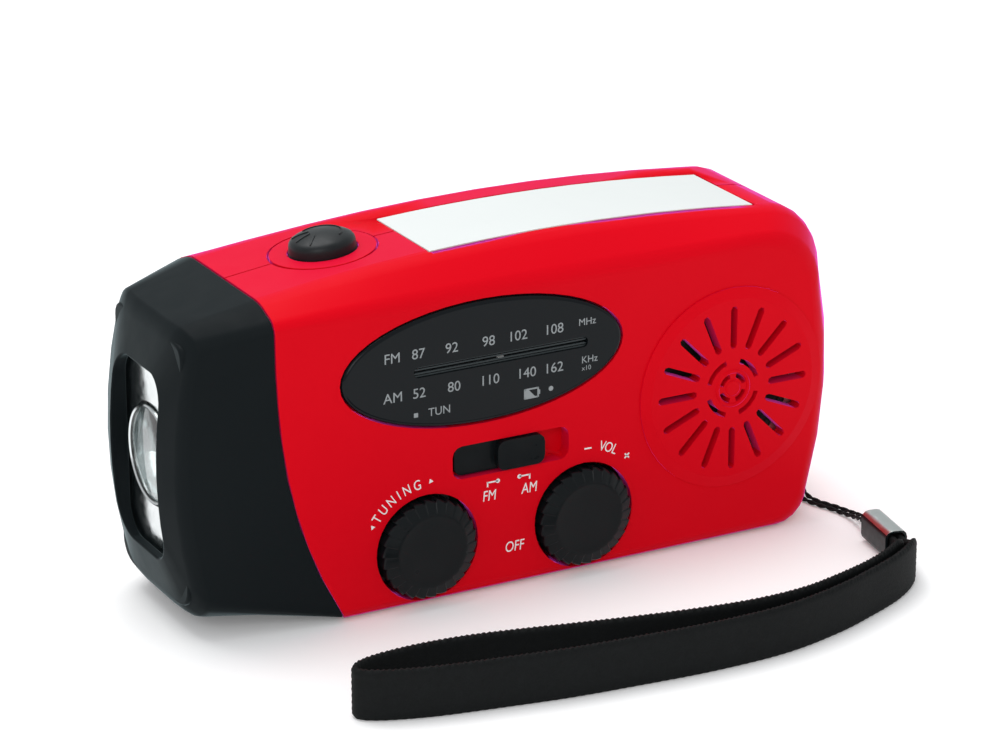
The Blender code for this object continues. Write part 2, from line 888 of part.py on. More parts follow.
def make_dial(gloss, grey, pale, thread, shell):
    centre = (dial_x, 0, dial_z)
    lens_back = front_y - dial_proud + dial_thick
    lens = prism("dial_lens", ellipse(dial_width, dial_height, 48), "y", centre,
                 front_y - dial_proud, lens_back, gloss)
    slot = prism("dial_slot", rounded(dial_slot_length, dial_slot_height, dial_slot_corner), "y",
                 (dial_slot_x, 0, pointer_z), front_y - overrun, lens_back + overrun)
    cut(lens, slot)
    hole = prism("dial_hole", ellipse(dial_width + 2 * gap, dial_height + 2 * gap, 48), "y", centre,
                 front_y - overrun, lens_back + gap)
    opening = ellipse(dial_width - 2 * dial_ledge, dial_height - 2 * dial_ledge, 48)
    through = prism("dial_through", opening, "y", centre, front_y - overrun, front_y + wall + overrun)
    cut(shell, hole, through)
    half = dial_width / 2 + scale_margin
    top = dial_z + dial_height / 2 + scale_margin
    plate = rounded(2 * half, top - scale_bottom_z, scale_margin * 3)
    scale = prism("dial_scale", plate, "y", (dial_x, 0, (top + scale_bottom_z) / 2),
                  scale_y, scale_y + scale_thick, grey)
    top_z = pointer_z - guide_radius - cord_radius - gap
    turn_z = guide_low_z - 2 * (guide_radius + cord_radius + gap)
    guides = (
        (guide_left_x, top_z),
        (guide_right_x, top_z),
        (guide_right_x, guide_low_z),
        (guide_turn_x, turn_z),
    )
    posts = []
    for number, (x, z) in enumerate(guides):
        posts.append(prism(f"guide_{number}", circle(guide_radius, 12), "y", (x, 0, z),
                           carriage_y, scale_y + scale_thick / 2))
    add(scale, *posts)
    around = guide_radius + cord_radius + gap
    turns = (-1, -1, -1, 1)
    wheels = [(x, z, around, turn) for (x, z), turn in zip(guides, turns)]
    wheels.append((tuning_x, knob_z, drum_radius, -1))
    closed_tube("dial_cord", belt(wheels), cord_y, cord_radius, thread)
    half = carriage_width / 2
    carriage = box("dial_pointer",
                   (dial_slot_x - half, carriage_y, pointer_z - carriage_height / 2),
                   (dial_slot_x + half, carriage_y + carriage_thick, pointer_z + carriage_height / 2), pale,
                   origin=(dial_slot_x, carriage_y, pointer_z))
    tongue_front = front_y - dial_proud + pointer_sunk
    tongue_half = dial_slot_height / 2 - gap
    tongue = box("pointer_tongue",
                 (dial_slot_x - pointer_width / 2, tongue_front, pointer_z - tongue_half),
                 (dial_slot_x + pointer_width / 2, carriage_y + carriage_thick / 4, pointer_z + tongue_half))
    groove = prism("carriage_bore", circle(cord_radius + gap, 8, math.pi / 8), "x",
                   (dial_slot_x, cord_y, pointer_z), -carriage_width, carriage_width)
    add(carriage, tongue)
    cut(carriage, groove)


# The tuning and volume knobs with what they turn

def knob_outline(radius, rise):
    """A saw-toothed rim: each ridge climbs slowly and drops at once."""
    points = []
    for ridge in range(knob_ridges):
        start = 2 * math.pi * ridge / knob_ridges
        step = 2 * math.pi / knob_ridges
        points.append((radius * math.cos(start), radius * math.sin(start)))
        end = start + step * knob_ridge_share
        points.append(((radius + rise) * math.cos(end), (radius + rise) * math.sin(end)))
    return points


def make_knob(name, x, look, shell):
    well = prism(f"{name}_well", circle(knob_well_radius, 40), "y", (x, 0, knob_z),
                 front_y - overrun, front_y + wall + drum_thick + overrun)
    cut(shell, well)
    body = knob_radius - knob_ridge_rise
    top = knob_radius * knob_top_share
    front = front_y - knob_proud
    steps = (
        (knob_outline(body, knob_ridge_rise), front_y + knob_sunk),
        (knob_outline(body, knob_ridge_rise), front + knob_rim_drop),
        (knob_outline(top, knob_ridge_rise / 4), front),
    )
    knob = lofted(name, [placed(outline, "y", (x, 0, knob_z), y) for outline, y in steps], look,
                  origin=(x, front_y, knob_z))
    bore = prism(f"{name}_bore", circle(shaft_radius + gap, 16), "y", (x, 0, knob_z),
                 front_y + knob_sunk - spigot_length - gap, front_y + knob_sunk + overrun)
    cut(knob, bore)


def make_tuning(black, white, case_look, shell):
    make_knob("tuning_knob", tuning_x, black, shell)
    place = (tuning_x, 0, knob_z)
    half = drum_thick / 2
    rim = drum_radius + drum_flange
    groove = drum_radius - cord_radius - gap
    turned("tuning_drum", (
        (shaft_radius, front_y + knob_sunk - spigot_length),
        (shaft_radius, cord_y - half),
        (rim, cord_y - half),
        (rim, cord_y - half + drum_lip),
        (groove, cord_y - cord_radius - gap),
        (groove, cord_y + cord_radius + gap),
        (rim, cord_y + half - drum_lip),
        (rim, cord_y + half),
        (shaft_radius, cord_y + half),
        (shaft_radius, cord_y + half + spigot_length),
    ), "y", place, 24, white, origin=(tuning_x, cord_y, knob_z))
    face = cord_y + half + gap
    back = front_y + board_depth - gap
    square = rounded(capacitor_side, capacitor_side, capacitor_corner, 2)
    body = prism("tuning_capacitor", square, "y", place, face, back, case_look)
    bore = prism("capacitor_bore", circle(shaft_radius + gap, 16), "y", place, face - overrun,
                 face + spigot_length + gap)
    cut(body, bore)


def make_volume(black, white, dark, shell):
    make_knob("volume_knob", volume_x, black, shell)
    place = (volume_x, 0, knob_z)
    face = front_y + knob_sunk + 2 * gap + wall
    turned("volume_shaft", (
        (shaft_radius, front_y + knob_sunk - spigot_length),
        (shaft_radius, face + spigot_length),
    ), "y", place, 16, white, origin=(volume_x, face, knob_z))
    pot = turned("volume_pot", (
        (pot_radius, face),
        (pot_radius, face + pot_thick),
        (pot_back_radius, face + pot_thick),
        (pot_back_radius, front_y + board_depth - gap),
    ), "y", place, 24, dark)
    bore = prism("pot_bore", circle(shaft_radius + gap, 16), "y", place, face - overrun,
                 face + spigot_length + gap)
    cut(pot, bore)


# The band switch under the dial

def make_band_switch(black, metal, shell):
    slider_left = slot_x - slot_length / 2 + gap + (slot_length - slider_length - slider_travel - 2 * gap) / 2
    slider_x = slider_left + slider_length / 2
    pocket_y = front_y + pocket_depth
    place = (slot_x, 0, slot_z)
    outer = rounded(slot_length + 2 * pocket_wall, slot_height + 2 * pocket_wall, slot_corner + pocket_wall)
    boss = prism("pocket_boss", outer, "y", place, front_y + wall / 2, pocket_y + pocket_wall)
    add(shell, boss)
    pocket = prism("pocket", rounded(slot_length, slot_height, slot_corner), "y", place,
                   front_y - overrun, pocket_y)
    stem_slot = prism("stem_slot", rounded(stem_width + slider_travel + 2 * gap, stem_height + 2 * gap,
                                                stem_height / 3, 1), "y",
                      (slider_x + slider_travel / 2, 0, slot_z), front_y, pocket_y + pocket_wall + overrun)
    cut(shell, pocket, stem_slot)
    back = pocket_y - gap
    height = slot_height - 2 * gap
    slider = prism("band_slider", rounded(slider_length, height, slot_corner - gap), "y",
                   (slider_x, 0, slot_z), back - slider_thick, back, black,
                   origin=(slider_x, front_y, slot_z))
    nub_x = slider_x + slider_length / 2 - slider_nub_length / 2
    nub = prism("slider_nub", rounded(slider_nub_length, height, slot_corner - gap), "y",
                (nub_x, 0, slot_z), back - slider_thick - slider_nub_rise, back - slider_thick / 2)
    reach = pocket_y + pocket_wall + gap + band_switch_depth / 2
    stem = prism("slider_stem", rounded(stem_width, stem_height, stem_height / 4, 1), "y",
                 (slider_x, 0, slot_z), back - slider_thick / 2, reach)
    add(slider, nub, stem)
    body_x = slider_x + slider_travel / 2
    body_y = pocket_y + pocket_wall + gap
    body = box("band_switch",
               (body_x - band_switch_length / 2, body_y, slot_z - band_switch_height / 2),
               (body_x + band_switch_length / 2, body_y + band_switch_depth, slot_z + band_switch_height / 2),
               metal)
    channel = prism("switch_channel", rounded(stem_width + slider_travel + 2 * gap, stem_height + 2 * gap,
                                                   stem_height / 3, 1), "y",
                    (body_x, 0, slot_z), body_y - overrun, reach + gap)
    cut(body, channel)


# The speaker behind its grille

def stadium(start, end, width, angle):
    """A slot with rounded ends along a spoke, from start to end."""
    points = []
    half = width / 2
    for centre, turn in ((end - half, -90), (start + half, 90)):
        for step in range(4):
            corner = math.radians(turn + 60 * step)
            points.append((centre + half * math.cos(corner), half * math.sin(corner)))
    cos, sin = math.cos(angle), math.sin(angle)
    return [(a * cos - b * sin, a * sin + b * cos) for a, b in points]


def arc_slot(radius, width, middle, sweep, steps=4):
    points = []
    for side in (1, -1):
        reach = radius + side * width / 2
        for turn in spread(-side * sweep / 2, side * sweep / 2, steps):
            points.append((reach * math.cos(middle + turn), reach * math.sin(middle + turn)))
    return points


def make_grille(shell):
    place = (speaker_x, 0, speaker_z)
    disc = turned("grille_disc", (
        (grille_radius, front_y + wall / 2),
        (grille_radius, front_y - grille_step),
        (grille_radius - grille_bevel, front_y - grille_rise),
    ), "y", place, 48)
    add(shell, disc)
    low = front_y - grille_rise - overrun
    high = front_y + wall + overrun
    tools = []
    for number in range(grille_slots):
        angle = 2 * math.pi * number / grille_slots
        outline = stadium(grille_slot_start, grille_slot_end, grille_slot_width, angle)
        tools.append(prism(f"spoke_{number}", outline, "y", place, low, high))
    for number in range(arc_slot_count):
        angle = math.pi / 4 + 2 * math.pi * number / arc_slot_count
        for radius in (outer_arc_radius, inner_arc_radius):
            outline = arc_slot(radius, arc_slot_width, angle, arc_sweep)
            tools.append(prism(f"arc_{number}", outline, "y", place, low, high))
    cut(shell, joined("grille_slots", tools))


def make_speaker(metal, paper, dark):
    place = (speaker_x, 0, speaker_z)
    face = front_y + wall + gap
    back = face + speaker_depth
    inner = magnet_radius - basket_skin
    turned("speaker_frame", (
        (speaker_radius, face),
        (speaker_radius, face + speaker_rim),
        (cone_radius + 2 * basket_skin, face + speaker_rim),
        (magnet_radius + basket_skin, back),
        (inner, back),
        (inner, back - basket_skin),
        (cone_radius + basket_skin, face + basket_skin),
        (cone_radius + basket_skin, face),
    ), "y", place, 32, metal, loop=True)
    edge = cone_radius + basket_skin - gap
    turned("speaker_cone", (
        (edge, face),
        (edge - cone_skin, face + 2 * cone_skin),
        (cone_throat, face + cone_depth + cone_skin),
        (cone_throat / 2, face + cone_depth + cone_skin),
        (cone_throat / 2, face + cone_depth - cone_skin),
        (cone_throat, face + cone_depth - cone_skin),
        (edge - 2 * cone_skin, face + cone_skin),
        (edge - 2 * cone_skin, face),
    ), "y", place, 32, paper, loop=True)
    coil = cone_throat / 2 - gap
    turned("speaker_magnet", (
        (coil, face + cone_depth),
        (coil, back + gap),
        (magnet_radius, back + gap),
        (magnet_radius, back + gap + magnet_thick),
    ), "y", place, 28, dark)


# Boards, aerial and battery cells

def make_insides(board, ferrite, copper, wrap, shell):
    front = front_y + board_depth
    box("main_board", (board_left_x, front, board_bottom_z),
        (board_right_x, front + board_thick, board_top_z), board)
    rod_y = rear_y - wall - rod_clearance - rod_radius
    place = (rod_x, rod_y, rod_z)
    prism("ferrite_rod", circle(rod_radius, 16), "x", place, -rod_length / 2, rod_length / 2, ferrite)
    turned("aerial_coil", (
        (rod_radius + gap, -coil_length / 2),
        (coil_radius, -coil_length / 2),
        (coil_radius, coil_length / 2),
        (rod_radius + gap, coil_length / 2),
    ), "x", place, 16, copper, loop=True)
    inner_rear = rear_y - wall / 2
    blocks = []
    for number, side in enumerate((-1, 1)):
        middle = rod_x + side * (rod_length / 2 - 2 * rod_saddle)
        blocks.append(box(f"saddle_{number}",
                          (middle - rod_saddle / 2, rod_y - rod_radius / 2,
                           rod_z - rod_radius - rod_saddle / 3),
                          (middle + rod_saddle / 2, inner_rear, rod_z + rod_radius / 2)))
    add(shell, *blocks)
    bed = prism("rod_bed", circle(rod_radius + gap, 16), "x", place,
                -rod_length / 2 - gap, rod_length / 2 + gap)
    cut(shell, bed)
    cell_y = rear_y - wall - gap - cell_radius
    for number in range(2):
        z = wall + gap + cell_radius + number * (2 * cell_radius + gap)
        body_end = cell_length - cell_nub_length
        turned(f"battery_cell_{number + 1}", (
            (cell_radius, 0),
            (cell_radius, body_end),
            (cell_nub_radius, body_end),
            (cell_nub_radius, cell_length),
        ), "x", (cell_left_x, cell_y, z), 20, wrap)


# Gears, dynamo and their plates

def gear_outline(teeth, phase):
    """Straight-sided teeth, a little thin, so that the pairs turn freely."""
    pitch = gear_module * teeth / 2
    tip = pitch + gear_module * tooth_rise_share
    root = pitch - gear_module * tooth_fall_share
    step = 2 * math.pi / teeth
    points = []
    for tooth in range(teeth):
        middle = phase + step * tooth
        for radius, share in (
            (root, -tooth_root_share),
            (tip, -tooth_tip_share),
            (tip, tooth_tip_share),
            (root, tooth_root_share),
        ):
            angle = middle + step * share
            points.append((radius * math.cos(angle), radius * math.sin(angle)))
    return points


def pitch_radius(teeth):
    return gear_module * teeth / 2


def step_from(x, z, angle, first, second):
    """The next axle's place, so that two gears mesh."""
    reach = pitch_radius(first) + pitch_radius(second) + mesh_clearance
    return x + reach * math.cos(angle), z + reach * math.sin(angle)


compound_x, compound_z = step_from(crank_x, crank_z, compound_angle, crank_teeth, small_teeth)
rotor_x, rotor_z = step_from(compound_x, compound_z, rotor_angle, large_teeth, rotor_teeth)


def hull(points):
    """The convex outline round some points, counterclockwise."""
    ordered = sorted(set(points))
    halves = []
    for sequence in (ordered, ordered[::-1]):
        chain = []
        for x, z in sequence:
            while len(chain) > 1:
                ax, az = chain[-2]
                bx, bz = chain[-1]
                if (bx - ax) * (z - az) - (bz - az) * (x - ax) > 0:
                    break
                chain.pop()
            chain.append((x, z))
        halves += chain[:-1]
    return halves


def make_gearbox(white, dark, steel, metal):
    cover_back = rear_y - wall - gap
    cover_front = cover_back - plate_thick
    first_back = cover_front - gap
    first_front = first_back - gear_thick
    second_back = first_front - gap
    second_front = second_back - gear_thick
    inner_back = second_front - gap
    inner_front = inner_back - plate_thick
    wheels = (
        (crank_x, crank_z, pitch_radius(crank_teeth)),
        (compound_x, compound_z, pitch_radius(large_teeth)),
        (rotor_x, rotor_z, dynamo_plate_radius),
        (pillar_right_x, crank_z, pillar_radius),
        (pillar_left_x, rotor_z, pillar_radius),
    )
    around = []
    for x, z, radius in wheels:
        around += [(x + a, z + b) for a, b in circle(radius + plate_margin, 24)]
    outline = hull(around)
    centre = (0, 0, 0)
    cover = prism("gearbox_cover", outline, "y", centre, cover_front, cover_back, dark)
    inner = prism("gearbox_plate", outline, "y", centre, inner_front, inner_back, dark)
    for plate, low, high in ((cover, cover_front, cover_back), (inner, inner_front, inner_back)):
        tools = []
        for x, z, radius in (
            (crank_x, crank_z, crank_shaft_radius),
            (compound_x, compound_z, axle_radius),
            (rotor_x, rotor_z, axle_radius),
        ):
            tools.append(prism("axle_hole", circle(radius + gap, 16), "y", (x, 0, z),
                               low - overrun, high + overrun))
        cut(plate, joined(f"{plate.name}_holes", tools))
    pillars = []
    for x, z, radius in wheels[-2:]:
        pillars.append(prism(f"pillar_{len(pillars)}", circle(radius, 12), "y", (x, 0, z),
                             inner_back - plate_thick / 2, cover_front - gap))
    add(inner, *pillars)
    phase_small = compound_angle + math.pi + math.pi / small_teeth
    phase_rotor = rotor_angle + math.pi + math.pi / rotor_teeth
    crank_gear = prism("crank_gear", gear_outline(crank_teeth, compound_angle), "y",
                       (crank_x, 0, crank_z), first_front, first_back, white,
                       origin=(crank_x, first_front, crank_z))
    cut(crank_gear, prism("crank_gear_bore", circle(crank_shaft_radius + gap, 16), "y", (crank_x, 0, crank_z),
                          first_front - overrun, first_back + overrun))
    place = (compound_x, 0, compound_z)
    hub = (compound_x, second_front, compound_z)
    compound = prism("compound_gear", gear_outline(large_teeth, rotor_angle), "y", place,
                     second_front, second_back, white, origin=hub)
    pinion = prism("compound_pinion", gear_outline(small_teeth, phase_small), "y", place,
                   second_back - gear_thick / 4, first_back)
    add(compound, pinion)
    cut(compound, prism("compound_bore", circle(axle_radius + gap, 12), "y", place,
                        second_front - overrun, first_back + overrun))
    prism("compound_axle", circle(axle_radius, 12), "y", place, inner_front, cover_back, steel)
    place = (rotor_x, 0, rotor_z)
    dynamo_back = inner_front - gap
    dynamo_front = dynamo_back - dynamo_depth
    rotor = prism("dynamo_rotor", gear_outline(rotor_teeth, phase_rotor), "y", place,
                  second_front, second_back, steel, origin=(rotor_x, second_front, rotor_z))
    shaft = prism("dynamo_shaft", circle(axle_radius, 12), "y", place, dynamo_back - dynamo_depth / 2,
                  cover_back - gap)
    add(rotor, shaft)
    can = turned("dynamo_body", (
        (dynamo_radius, dynamo_front),
        (dynamo_radius, dynamo_back),
    ), "y", place, 32, metal)
    cut(can, prism("dynamo_bore", circle(axle_radius + gap, 12), "y", place,
                   dynamo_back - dynamo_depth / 2 - gap, dynamo_back + overrun))
    return inner_front


# The crank: shaft, arm, screw and folding grip

def make_crank(red, black, steel, inner_front, shell):
    place = (crank_x, 0, crank_z)
    pivot = (crank_x, rear_y, crank_z)
    arm_low = rear_y + crank_lift
    arm_high = arm_low + crank_thick
    cut(shell, prism("crank_hole", circle(crank_shaft_radius + gap, 20), "y", place,
                     rear_y - wall - overrun, rear_y + overrun))
    shaft_end = arm_low + crank_thick * crank_shaft_share
    prism("crank_shaft", circle(crank_shaft_radius, 20), "y", place, inner_front, shaft_end, steel,
          origin=pivot)
    half = crank_width / 2
    fold_x = crank_x - crank_reach
    around = [(crank_x + a, crank_z + b) for a, b in circle(crank_hub_radius, 28)]
    around += [(fold_x + a, crank_z + b) for a, b in circle(half, 20)]
    arm = prism("crank_arm", hull(around), "y", (0, 0, 0), arm_low, arm_high, black, origin=pivot)
    slot_half = grip_radius + gap
    slot_low = fold_x - knuckle_length / 2 - gap
    slot_high = fold_x + knuckle_length / 2 + grip_length + 3 * gap
    slot = box("grip_slot", (slot_low, arm_low - overrun, crank_z - slot_half),
               (slot_high, arm_high + overrun, crank_z + slot_half))
    bore = prism("arm_bore", circle(crank_shaft_radius + gap, 20), "y", place,
                 arm_low - overrun, shaft_end + gap)
    screw_low = shaft_end + gap
    head = prism("screw_recess", circle(crank_screw_radius + gap, 20), "y", place, screw_low - overrun / 2,
                 arm_high + overrun)
    cut(arm, slot, bore, head)
    prism("crank_screw", circle(crank_screw_radius, 16), "y", place, screw_low, arm_high - gap, steel,
          origin=pivot)
    mid = arm_low + crank_thick / 2
    hinge = (fold_x, mid, crank_z)
    pin_half = half - gap
    cut(arm, prism("fold_pin_hole", circle(fold_pin_radius + gap, 10), "z", hinge,
                   -half - overrun, half + overrun))
    prism("fold_pin", circle(fold_pin_radius, 10), "z", hinge, -pin_half, pin_half, steel, origin=hinge)
    round_half = grip_radius - gap
    points = [(a, b) for a, b in circle(round_half, 16)]
    reach = knuckle_length / 2
    points += [(reach, -round_half), (reach, round_half)]
    knuckle = prism("grip_knuckle", hull(points), "z", hinge, -knuckle_width / 2, knuckle_width / 2, steel,
                    origin=hinge)
    spindle_end = reach + grip_length - gap
    spindle = prism("grip_spindle", circle(grip_bore, 12), "x", hinge, reach / 2 + grip_bore / 2, spindle_end)
    cut(knuckle, prism("knuckle_hole", circle(fold_pin_radius + gap, 10), "z", hinge,
                       -knuckle_width, knuckle_width))
    add(knuckle, spindle)
    start = reach + gap
    turned("crank_grip", (
        (grip_bore + gap, start),
        (grip_radius, start),
        (grip_radius, start + grip_length * grip_near_share),
        (grip_waist, start + grip_length / 2),
        (grip_radius, start + grip_length * grip_far_share),
        (grip_end, start + grip_length),
        (grip_bore + gap, start + grip_length),
    ), "x", hinge, 20, red, loop=True, origin=hinge)


# Sockets and their flap on the right end

def make_sockets(metal, rubber, shell):
    y = front_y + socket_depth
    face_x = right_x - flap_sunk
    low_z = flap_mid_z - flap_height / 2 - gap
    high_z = flap_mid_z + flap_height / 2 + gap
    half = flap_width / 2 + gap
    recess = box("flap_recess", (face_x - gap, y - half, low_z), (right_x + overrun, y + half, high_z))
    tools = [recess]
    for name, z, height, width, length, look in (
        ("usb_socket", usb_mid_z, usb_height, usb_width, usb_length, metal),
        ("charge_socket", charge_mid_z, charge_height, charge_width, charge_length, metal),
    ):
        hole = prism(f"{name}_hole", rounded(width + 2 * gap, height + 2 * gap, usb_skin, 2), "x",
                     (0, y, z), face_x - 2 * wall, right_x + overrun)
        tools.append(hole)
        outer = rounded(width, height, usb_skin, 2)
        mouth = face_x - 2 * gap
        shell_box = prism(name, outer, "x", (0, y, z), mouth - length, mouth, look)
        inner = rounded(width - 2 * usb_skin, height - 2 * usb_skin, usb_skin / 3, 2)
        cut(shell_box, prism(f"{name}_mouth", inner, "x", (0, y, z), mouth - length * socket_mouth_share,
                             mouth + overrun))
    cut(shell, *tools)
    plate_y = y + flap_width / 2
    prism("socket_flap", rounded(flap_width, flap_height, flap_thick, 2), "x", (0, y, flap_mid_z),
          face_x, face_x + flap_thick, rubber, origin=(face_x + flap_thick, plate_y, flap_mid_z))


# Screws and their posts

def make_screws(steel, front_shell, rear_shell):
    for number, (x, z) in enumerate(screw_places):
        place = (x, 0, z)
        post_top = mid_y - gap / 2
        add(front_shell, prism(f"post_{number}", circle(post_radius, 16), "y", place,
                               front_y + wall / 2, post_top))
        head_top = rear_y - screw_sink
        head_low = head_top - screw_head_height
        sleeve_low = mid_y + gap / 2
        add(rear_shell, prism(f"sleeve_{number}", circle(post_radius, 16), "y", place, sleeve_low,
                              rear_y - wall / 2))
        tip = mid_y - screw_bite
        cut(front_shell, prism(f"pilot_{number}", circle(screw_radius + gap, 12), "y", place, tip - gap,
                               mid_y + overrun))
        cut(rear_shell,
            prism(f"screw_way_{number}", circle(screw_radius + gap, 12), "y", place, mid_y - overrun, rear_y),
            prism(f"head_way_{number}", circle(screw_head_radius + gap, 16), "y", place, head_low - gap,
                  rear_y + overrun))
        turned(f"case_screw_{number + 1}", (
            (screw_radius, tip),
            (screw_radius, head_low),
            (screw_head_radius, head_low),
            (screw_crown_radius, head_top),
        ), "y", place, 16, steel)


# The wrist strap

def cut_strap_slots(shells):
    for number, side in enumerate((-1, 1)):
        z = strap_bar_z + side * (strap_bar + strap_slot_height) / 2
        slot = box(f"strap_slot_{number}",
                   (side_x(z) - 2 * wall - overrun, mid_y - strap_slot_width / 2, z - strap_slot_height / 2),
                   (right_x + overrun, mid_y + strap_slot_width / 2, z + strap_slot_height / 2))
        for shell in shells:
            cut(shell, slot)


webbing_route = [Vector((x * along, y * mm, 0)) for x, y in (
    (63.3, -40.3), (62.8, -43.5), (62.0, -47.0), (60.3, -51.0), (57.3, -54.5), (52.2, -57.9),
    (45.0, -61.1), (36.0, -64.4), (24.0, -67.0), (10.0, -67.3), (-4.0, -66.2), (-16.0, -64.9),
    (-28.0, -62.8), (-38.0, -60.8), (-45.0, -58.6), (-48.8, -56.6), (-49.6, -54.8), (-48.0, -53.2),
    (-44.0, -52.2), (-37.0, -51.9), (-29.0, -52.6), (-21.0, -54.2), (-10.0, -56.9), (0.8, -59.4),
    (11.0, -61.4), (20.5, -62.6), (29.0, -62.5), (36.0, -61.2), (46.0, -58.1), (53.0, -54.7),
    (57.2, -51.4), (59.6, -48.0), (60.9, -44.8), (61.3, -43.2), (61.85, -40.0),
)]
strap_cord_routes = [[Vector((x * along, y * mm, z * mm)) for x, y, z in route] for route in (
    (
        (60.6, -2.4, 10.9), (62.8, -2.4, 10.9), (64.4, -3.2, 9.6), (64.9, -5.5, 6.5), (64.4, -8.5, 2.6),
        (64.0, -11.2, 0.9), (64.4, -14.2, 0.5), (65.8, -18.0, 0.5), (66.6, -22.0, 0.7), (66.2, -26.0, 1.5),
        (65.0, -30.0, 2.6), (64.2, -33.1, 3.0), (63.85, -35.8, 3.0),
    ),
    (
        (59.4, -2.4, 6.3), (61.6, -2.4, 6.3), (63.2, -3.2, 5.6), (63.6, -5.5, 3.6), (63.2, -8.4, 1.3),
        (62.8, -11.4, 0.55), (63.1, -14.6, 0.5), (64.5, -18.4, 0.5), (65.3, -22.2, 0.6), (65.0, -26.1, 1.4),
        (63.9, -29.9, 2.5), (63.1, -33.1, 3.0), (62.75, -35.7, 3.0),
    ),
)]
ferrule_place = Vector((62.9 * along, -38.2 * mm, 3.0 * mm))


def smooth_line(points, steps):
    """A Catmull-Rom curve through the points."""
    line = []
    last = len(points) - 1
    for index in range(last):
        a = points[max(index - 1, 0)]
        b = points[index]
        c = points[index + 1]
        d = points[min(index + 2, last)]
        for step in range(steps):
            t = step / steps
            line.append(0.5 * (2 * b + (c - a) * t + (2 * a - 5 * b + 4 * c - d) * t ** 2
                               + (3 * b - a - 3 * c + d) * t ** 3))
    return line + [points[-1]]


def make_strap(cord_look, webbing_look, metal):
    for number, route in enumerate(strap_cord_routes):
        name = f"strap_cord_{number + 1}"
        curve = bpy.data.curves.new(name, "CURVE")
        curve.dimensions = "3D"
        curve.bevel_depth = strap_cord_radius
        curve.bevel_resolution = 2
        curve.use_fill_caps = True
        line = smooth_line(route, 2)
        spline = curve.splines.new("POLY")
        spline.points.add(len(line) - 1)
        for point, place in zip(spline.points, line):
            point.co = (*place, 1.0)
        curve.materials.append(cord_look)
        bpy.context.scene.collection.objects.link(bpy.data.objects.new(name, curve))
    line = smooth_line(webbing_route, 2)
    rings = []
    last = len(line) - 1
    for index, place in enumerate(line):
        along = (line[min(index + 1, last)] - line[max(index - 1, 0)]).normalized()
        side = along.cross(Z) * webbing_thick / 2
        past_ferrule = min(index, last - index) - webbing_pinched
        spreading = min(max(past_ferrule, 0), webbing_spread) / webbing_spread
        low = webbing_pinch_low * (1 - spreading)
        high = low + webbing_pinch + (webbing_width - webbing_pinch) * spreading
        rings.append([place + side + Z * low, place + side + Z * high, place - side + Z * high,
                      place - side + Z * low])
    lofted("strap_webbing", rings, webbing_look)
    outer = rounded(ferrule_width, ferrule_height, ferrule_corner)
    inner = rounded(ferrule_width - 2 * ferrule_skin, ferrule_height - 2 * ferrule_skin,
                    ferrule_corner - ferrule_skin)
    half = ferrule_length / 2
    heading = Vector((math.sin(ferrule_turn), math.cos(ferrule_turn), 0))
    across = heading.cross(Z)
    rings = []
    for outline, reach in ((outer, -half), (outer, half), (inner, half), (inner, -half)):
        rings.append([ferrule_place + heading * reach + across * a + Z * b for a, b in outline])
    lofted("strap_ferrule", rings, metal, loop=True)


def main():
    clear_scene()
    red = material("red_abs", (0.60, 0.0, 0.012), 0.42)
    black = material("black_rubberised_abs", (0.012, 0.016, 0.017), 0.5)
    rubber = material("black_rubber", (0.02, 0.025, 0.027), 0.6)
    gloss = material("black_gloss_acrylic", (0.006, 0.008, 0.009), 0.1)
    silver = material("silvered_plastic", (0.8, 0.82, 0.82), 0.15, 0.9)
    clear = material("clear_acrylic", (0.9, 0.95, 0.95), 0.05, 0.0, 0.4)
    warm = material("led_epoxy", (0.9, 0.92, 0.85), 0.1, 0.0, 0.7)
    panel = material("solar_cover", (0.80, 0.84, 0.82), 0.2)
    cells = material("solar_cells", (0.02, 0.03, 0.09), 0.3)
    board = material("green_board", (0.01, 0.12, 0.04), 0.5)
    grey = material("grey_plastic", (0.12, 0.13, 0.13), 0.5)
    pale = material("pale_plastic", (0.6, 0.62, 0.62), 0.5)
    steel = material("steel", (0.6, 0.6, 0.6), 0.3, 1.0)
    metal = material("nickel", (0.7, 0.71, 0.72), 0.25, 1.0)
    paper = material("paper_cone", (0.05, 0.05, 0.05), 0.9)
    white = material("white_nylon", (0.8, 0.8, 0.78), 0.5)
    copper = material("copper_wire", (0.6, 0.25, 0.1), 0.4, 0.8)
    wrap = material("cell_wrap", (0.05, 0.25, 0.5), 0.4)
    weave = material("black_nylon", (0.008, 0.009, 0.01), 0.85)

    front_shell = case_shell("front_shell", -1, red)
    rear_shell = case_shell("rear_shell", 1, red)
    shells = (front_shell, rear_shell)
    make_nose_cap(black)
    make_torch(silver, clear, board, warm)
    make_grille(front_shell)
    make_screws(steel, front_shell, rear_shell)
    make_band_switch(black, metal, front_shell)
    make_torch_button(red, rubber, black, board, shells)
    make_solar_panel(panel, cells, shells)
    make_dial(gloss, grey, pale, weave, front_shell)
    make_tuning(black, white, grey, front_shell)
    make_volume(black, white, grey, front_shell)
    make_speaker(metal, paper, grey)
    make_insides(board, grey, copper, wrap, rear_shell)
    inner_front = make_gearbox(white, grey, steel, metal)
    make_crank(red, black, steel, inner_front, rear_shell)
    make_sockets(metal, rubber, rear_shell)
    cut_strap_slots(shells)
    make_strap(weave, weave, metal)


main()
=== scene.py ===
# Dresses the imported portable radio: case, torch, dial, knobs, grille, crank and wrist strap.

import math

